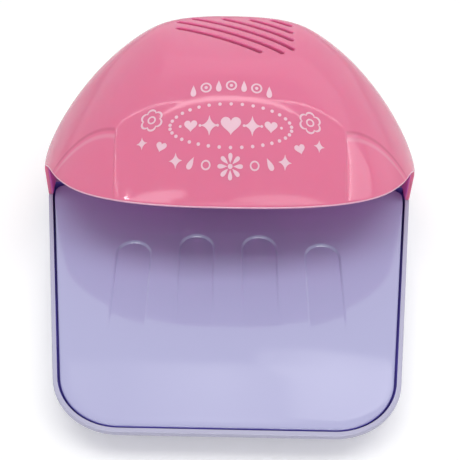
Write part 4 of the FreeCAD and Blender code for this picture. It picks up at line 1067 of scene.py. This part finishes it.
# %% [markdown]
# ## Floor
# The floor keeps the soft shadow and fades into the white backdrop. It is one large pale sheet
# that glows a little, to the camera alone, so no extra light falls on the dryer.

# %% Floor
FLOOR_SIZE, JUST_BELOW, PAPER, PAPER_ROUGHNESS, PAPER_GLOW = 6.0, 0.0001, 0.93, 0.9, 0.2
bpy.ops.object.select_all(action="DESELECT")
bpy.ops.mesh.primitive_plane_add(size=FLOOR_SIZE, location=(0, 0, -JUST_BELOW))
floor = bpy.context.object
floor.name = "floor"
paper, tree, shader = new_material("paper")
shader.inputs["Base Color"].default_value = (PAPER, PAPER, PAPER, 1)
shader.inputs["Roughness"].default_value = PAPER_ROUGHNESS
seen = tree.nodes.new("ShaderNodeLightPath")
tree.links.new(calc(tree, "MULTIPLY", seen.outputs["Is Camera Ray"], PAPER_GLOW),
               shader.inputs["Emission Strength"])
shader.inputs["Emission Color"].default_value = (1, 1, 1, 1)
floor.data.materials.append(paper)
print("floor is", FLOOR_SIZE, "m across")

# %% [markdown]
# ## Key lamp
# The light comes mostly from straight above, from one wide lamp, so the hood shades the plate
# up to a soft line below its own lip. The gloss doesn't see this lamp, because what the gloss
# mirrors is drawn lamp by lamp in the next step.


# %% Key lamp
ROOF, KEY_ABOVE = 0.9, 0.02  # metres: the mirrored lamps, the key over them
KEY_X, KEY_Y, KEY_SIZE, KEY_POWER = 0.1, -0.075 * ROOF, (1.1, 0.38), 4.02


def flat_lamp(name, at, size, power, shape="RECTANGLE"):
    """Area lamp that faces down."""
    bpy.ops.object.light_add(type="AREA", location=at)
    lamp = bpy.context.object
    lamp.name = name
    lamp.data.shape = shape
    lamp.data.size, lamp.data.size_y = size
    lamp.data.energy = power
    return lamp


def aimed(lamp, aim):
    """Turn a lamp to face a point."""
    lamp.rotation_euler = (Vector(aim) - lamp.location).to_track_quat("-Z", "Y").to_euler()


key = flat_lamp("key", (KEY_X, KEY_Y, ROOF + KEY_ABOVE), KEY_SIZE, KEY_POWER)
aimed(key, (KEY_X, KEY_Y, 0))
key.visible_glossy = False
print("key lamp:", KEY_POWER, "W")

# %% [markdown]
# ## Lines in the gloss
# A glossy dome mirrors a room as thin curved lines, from tubes and window frames. Long flat
# lamps that only reflections can see draw them. Each runs between two points of a level plane,
# given as shares of the plane's height, so that a line keeps its place in the gloss if the
# plane moves. A lamp's power follows from its radiance and its area.


# %% Mirrored bars
FRONT_ROOF = 0.83


def bar(name, start, stop, width, radiance, height=ROOF, shape="RECTANGLE"):
    """Flat lamp that only the gloss shows, between two points given in heights."""
    (x0, y0), (x1, y1) = start, stop
    length = math.hypot(x1 - x0, y1 - y0) * height
    lamp = flat_lamp(name, ((x0 + x1) / 2 * height, (y0 + y1) / 2 * height, height),
                     (length, width * height), radiance * math.pi * length * width * height, shape)
    lamp.rotation_euler = (0, 0, math.atan2(y1 - y0, x1 - x0))
    lamp.visible_diffuse = False


BARS = (
    ("roof_middle", (-0.50, -0.115), (0.50, -0.105), 0.035, 4.5, ROOF, "ELLIPSE"),
    ("roof_left", (-0.25, -0.10), (-1.2, 0.24), 0.013, 6),
    ("roof_right", (0.25, -0.085), (1.2, 0.255), 0.013, 6),
    ("left_line", (-0.96, -0.62), (-1.2, 0.2), 0.012, 11),
    ("right_line", (1.17, -0.55), (1.29, 0.24), 0.02, 16),
    ("right_near", (1.27, -0.55), (1.39, 0.24), 0.14, 2.4),
    ("right_far", (1.60, -0.55), (1.72, 0.24), 0.55, 1.7),
    ("front_left", (-0.92, -0.68), (-0.20, -0.71), 0.10, 2.6, FRONT_ROOF, "ELLIPSE"),
    ("front_left_low", (-0.90, -0.76), (-0.30, -0.78), 0.09, 2.2, FRONT_ROOF, "ELLIPSE"),
    ("front_right", (0.02, -0.76), (0.82, -0.69), 0.09, 1.8, FRONT_ROOF, "ELLIPSE"),
    ("front_lip", (-0.80, -0.83), (0.80, -0.81), 0.07, 2.0, FRONT_ROOF),
    ("front_spot", (-0.87, -0.64), (-0.81, -0.64), 0.06, 40, FRONT_ROOF),
    ("roof_rear", (-0.6, 0.60), (1.5, 0.60), 0.80, 0.45),
)
for one in BARS:
    bar(*one)
print("mirrored bars:", len(BARS))

# %% [markdown]
# ## Soft sheens
# Two broad lamps put a sheen on the right flank and on the front wall. Two small panels over
# the hood aim at the front of the plate, which mirrors them as its broad pale patch. Their light
# keeps to a narrow spread, so the hood's crown doesn't mirror them as well.

# %% Soft boxes and panels
PANEL_Z, PANEL_AIM_Z, PANEL_FORWARD, PANEL_INWARD = 0.2, 0.013, 0.129, 0.6
PANEL_SPREAD = math.radians(16)
BOXES = (("right_side", (1.6, 0.25, 0.45), (0.05, 0.03, 0.05), (0.9, 0.5), 0.45),
         ("front_low", (0.0, -1.1, 0.38), (0, 0, 0.03), (1.7, 0.3), 12.0))
PANELS = (("rear_panel", 0.0, 0.059, (0.34, 0.033), 0.0115, "RECTANGLE"),
          ("rear_bright", 0.085, 0.067, (0.130, 0.026), 0.015, "ELLIPSE"))
for name, at, aim, size, power in BOXES:
    box = flat_lamp(name, at, size, power)
    aimed(box, aim)
    box.visible_diffuse = False
for name, x, y, size, radiance, shape in PANELS:
    panel = flat_lamp(name, (x, y, PANEL_Z), size, radiance * math.pi * size[0] * size[1], shape)
    aimed(panel, (PANEL_INWARD * x, y - PANEL_FORWARD, PANEL_AIM_Z))
    panel.visible_diffuse = panel.visible_camera = False
    panel.data.spread = PANEL_SPREAD
print("soft lamps:", len(BOXES) + len(PANELS))

# %% [markdown]
# ## Surround
# A white surround is what the glossy skin mirrors where no lamp is. The camera and mirrored
# rays see it at full strength. As light on the object it is weaker, so the shade stays.

# %% Surround
AS_LIGHT, AS_BACKDROP = 0.56, 1.0
world = bpy.data.worlds.new("studio")
bpy.context.scene.world = world
world.use_nodes = True
tree = world.node_tree
surround = tree.nodes["Background"]
surround.inputs["Color"].default_value = (1, 1, 1, 1)
rays = tree.nodes.new("ShaderNodeLightPath").outputs
mirrored = calc(tree, "MAXIMUM", rays["Is Camera Ray"], rays["Is Glossy Ray"])
mirrored = calc(tree, "MAXIMUM", mirrored, rays["Is Transmission Ray"])
tree.links.new(between(tree, mirrored, AS_LIGHT, AS_BACKDROP), surround.inputs["Strength"])
bpy.context.scene.view_settings.view_transform = "Standard"
print("surround as light:", AS_LIGHT)
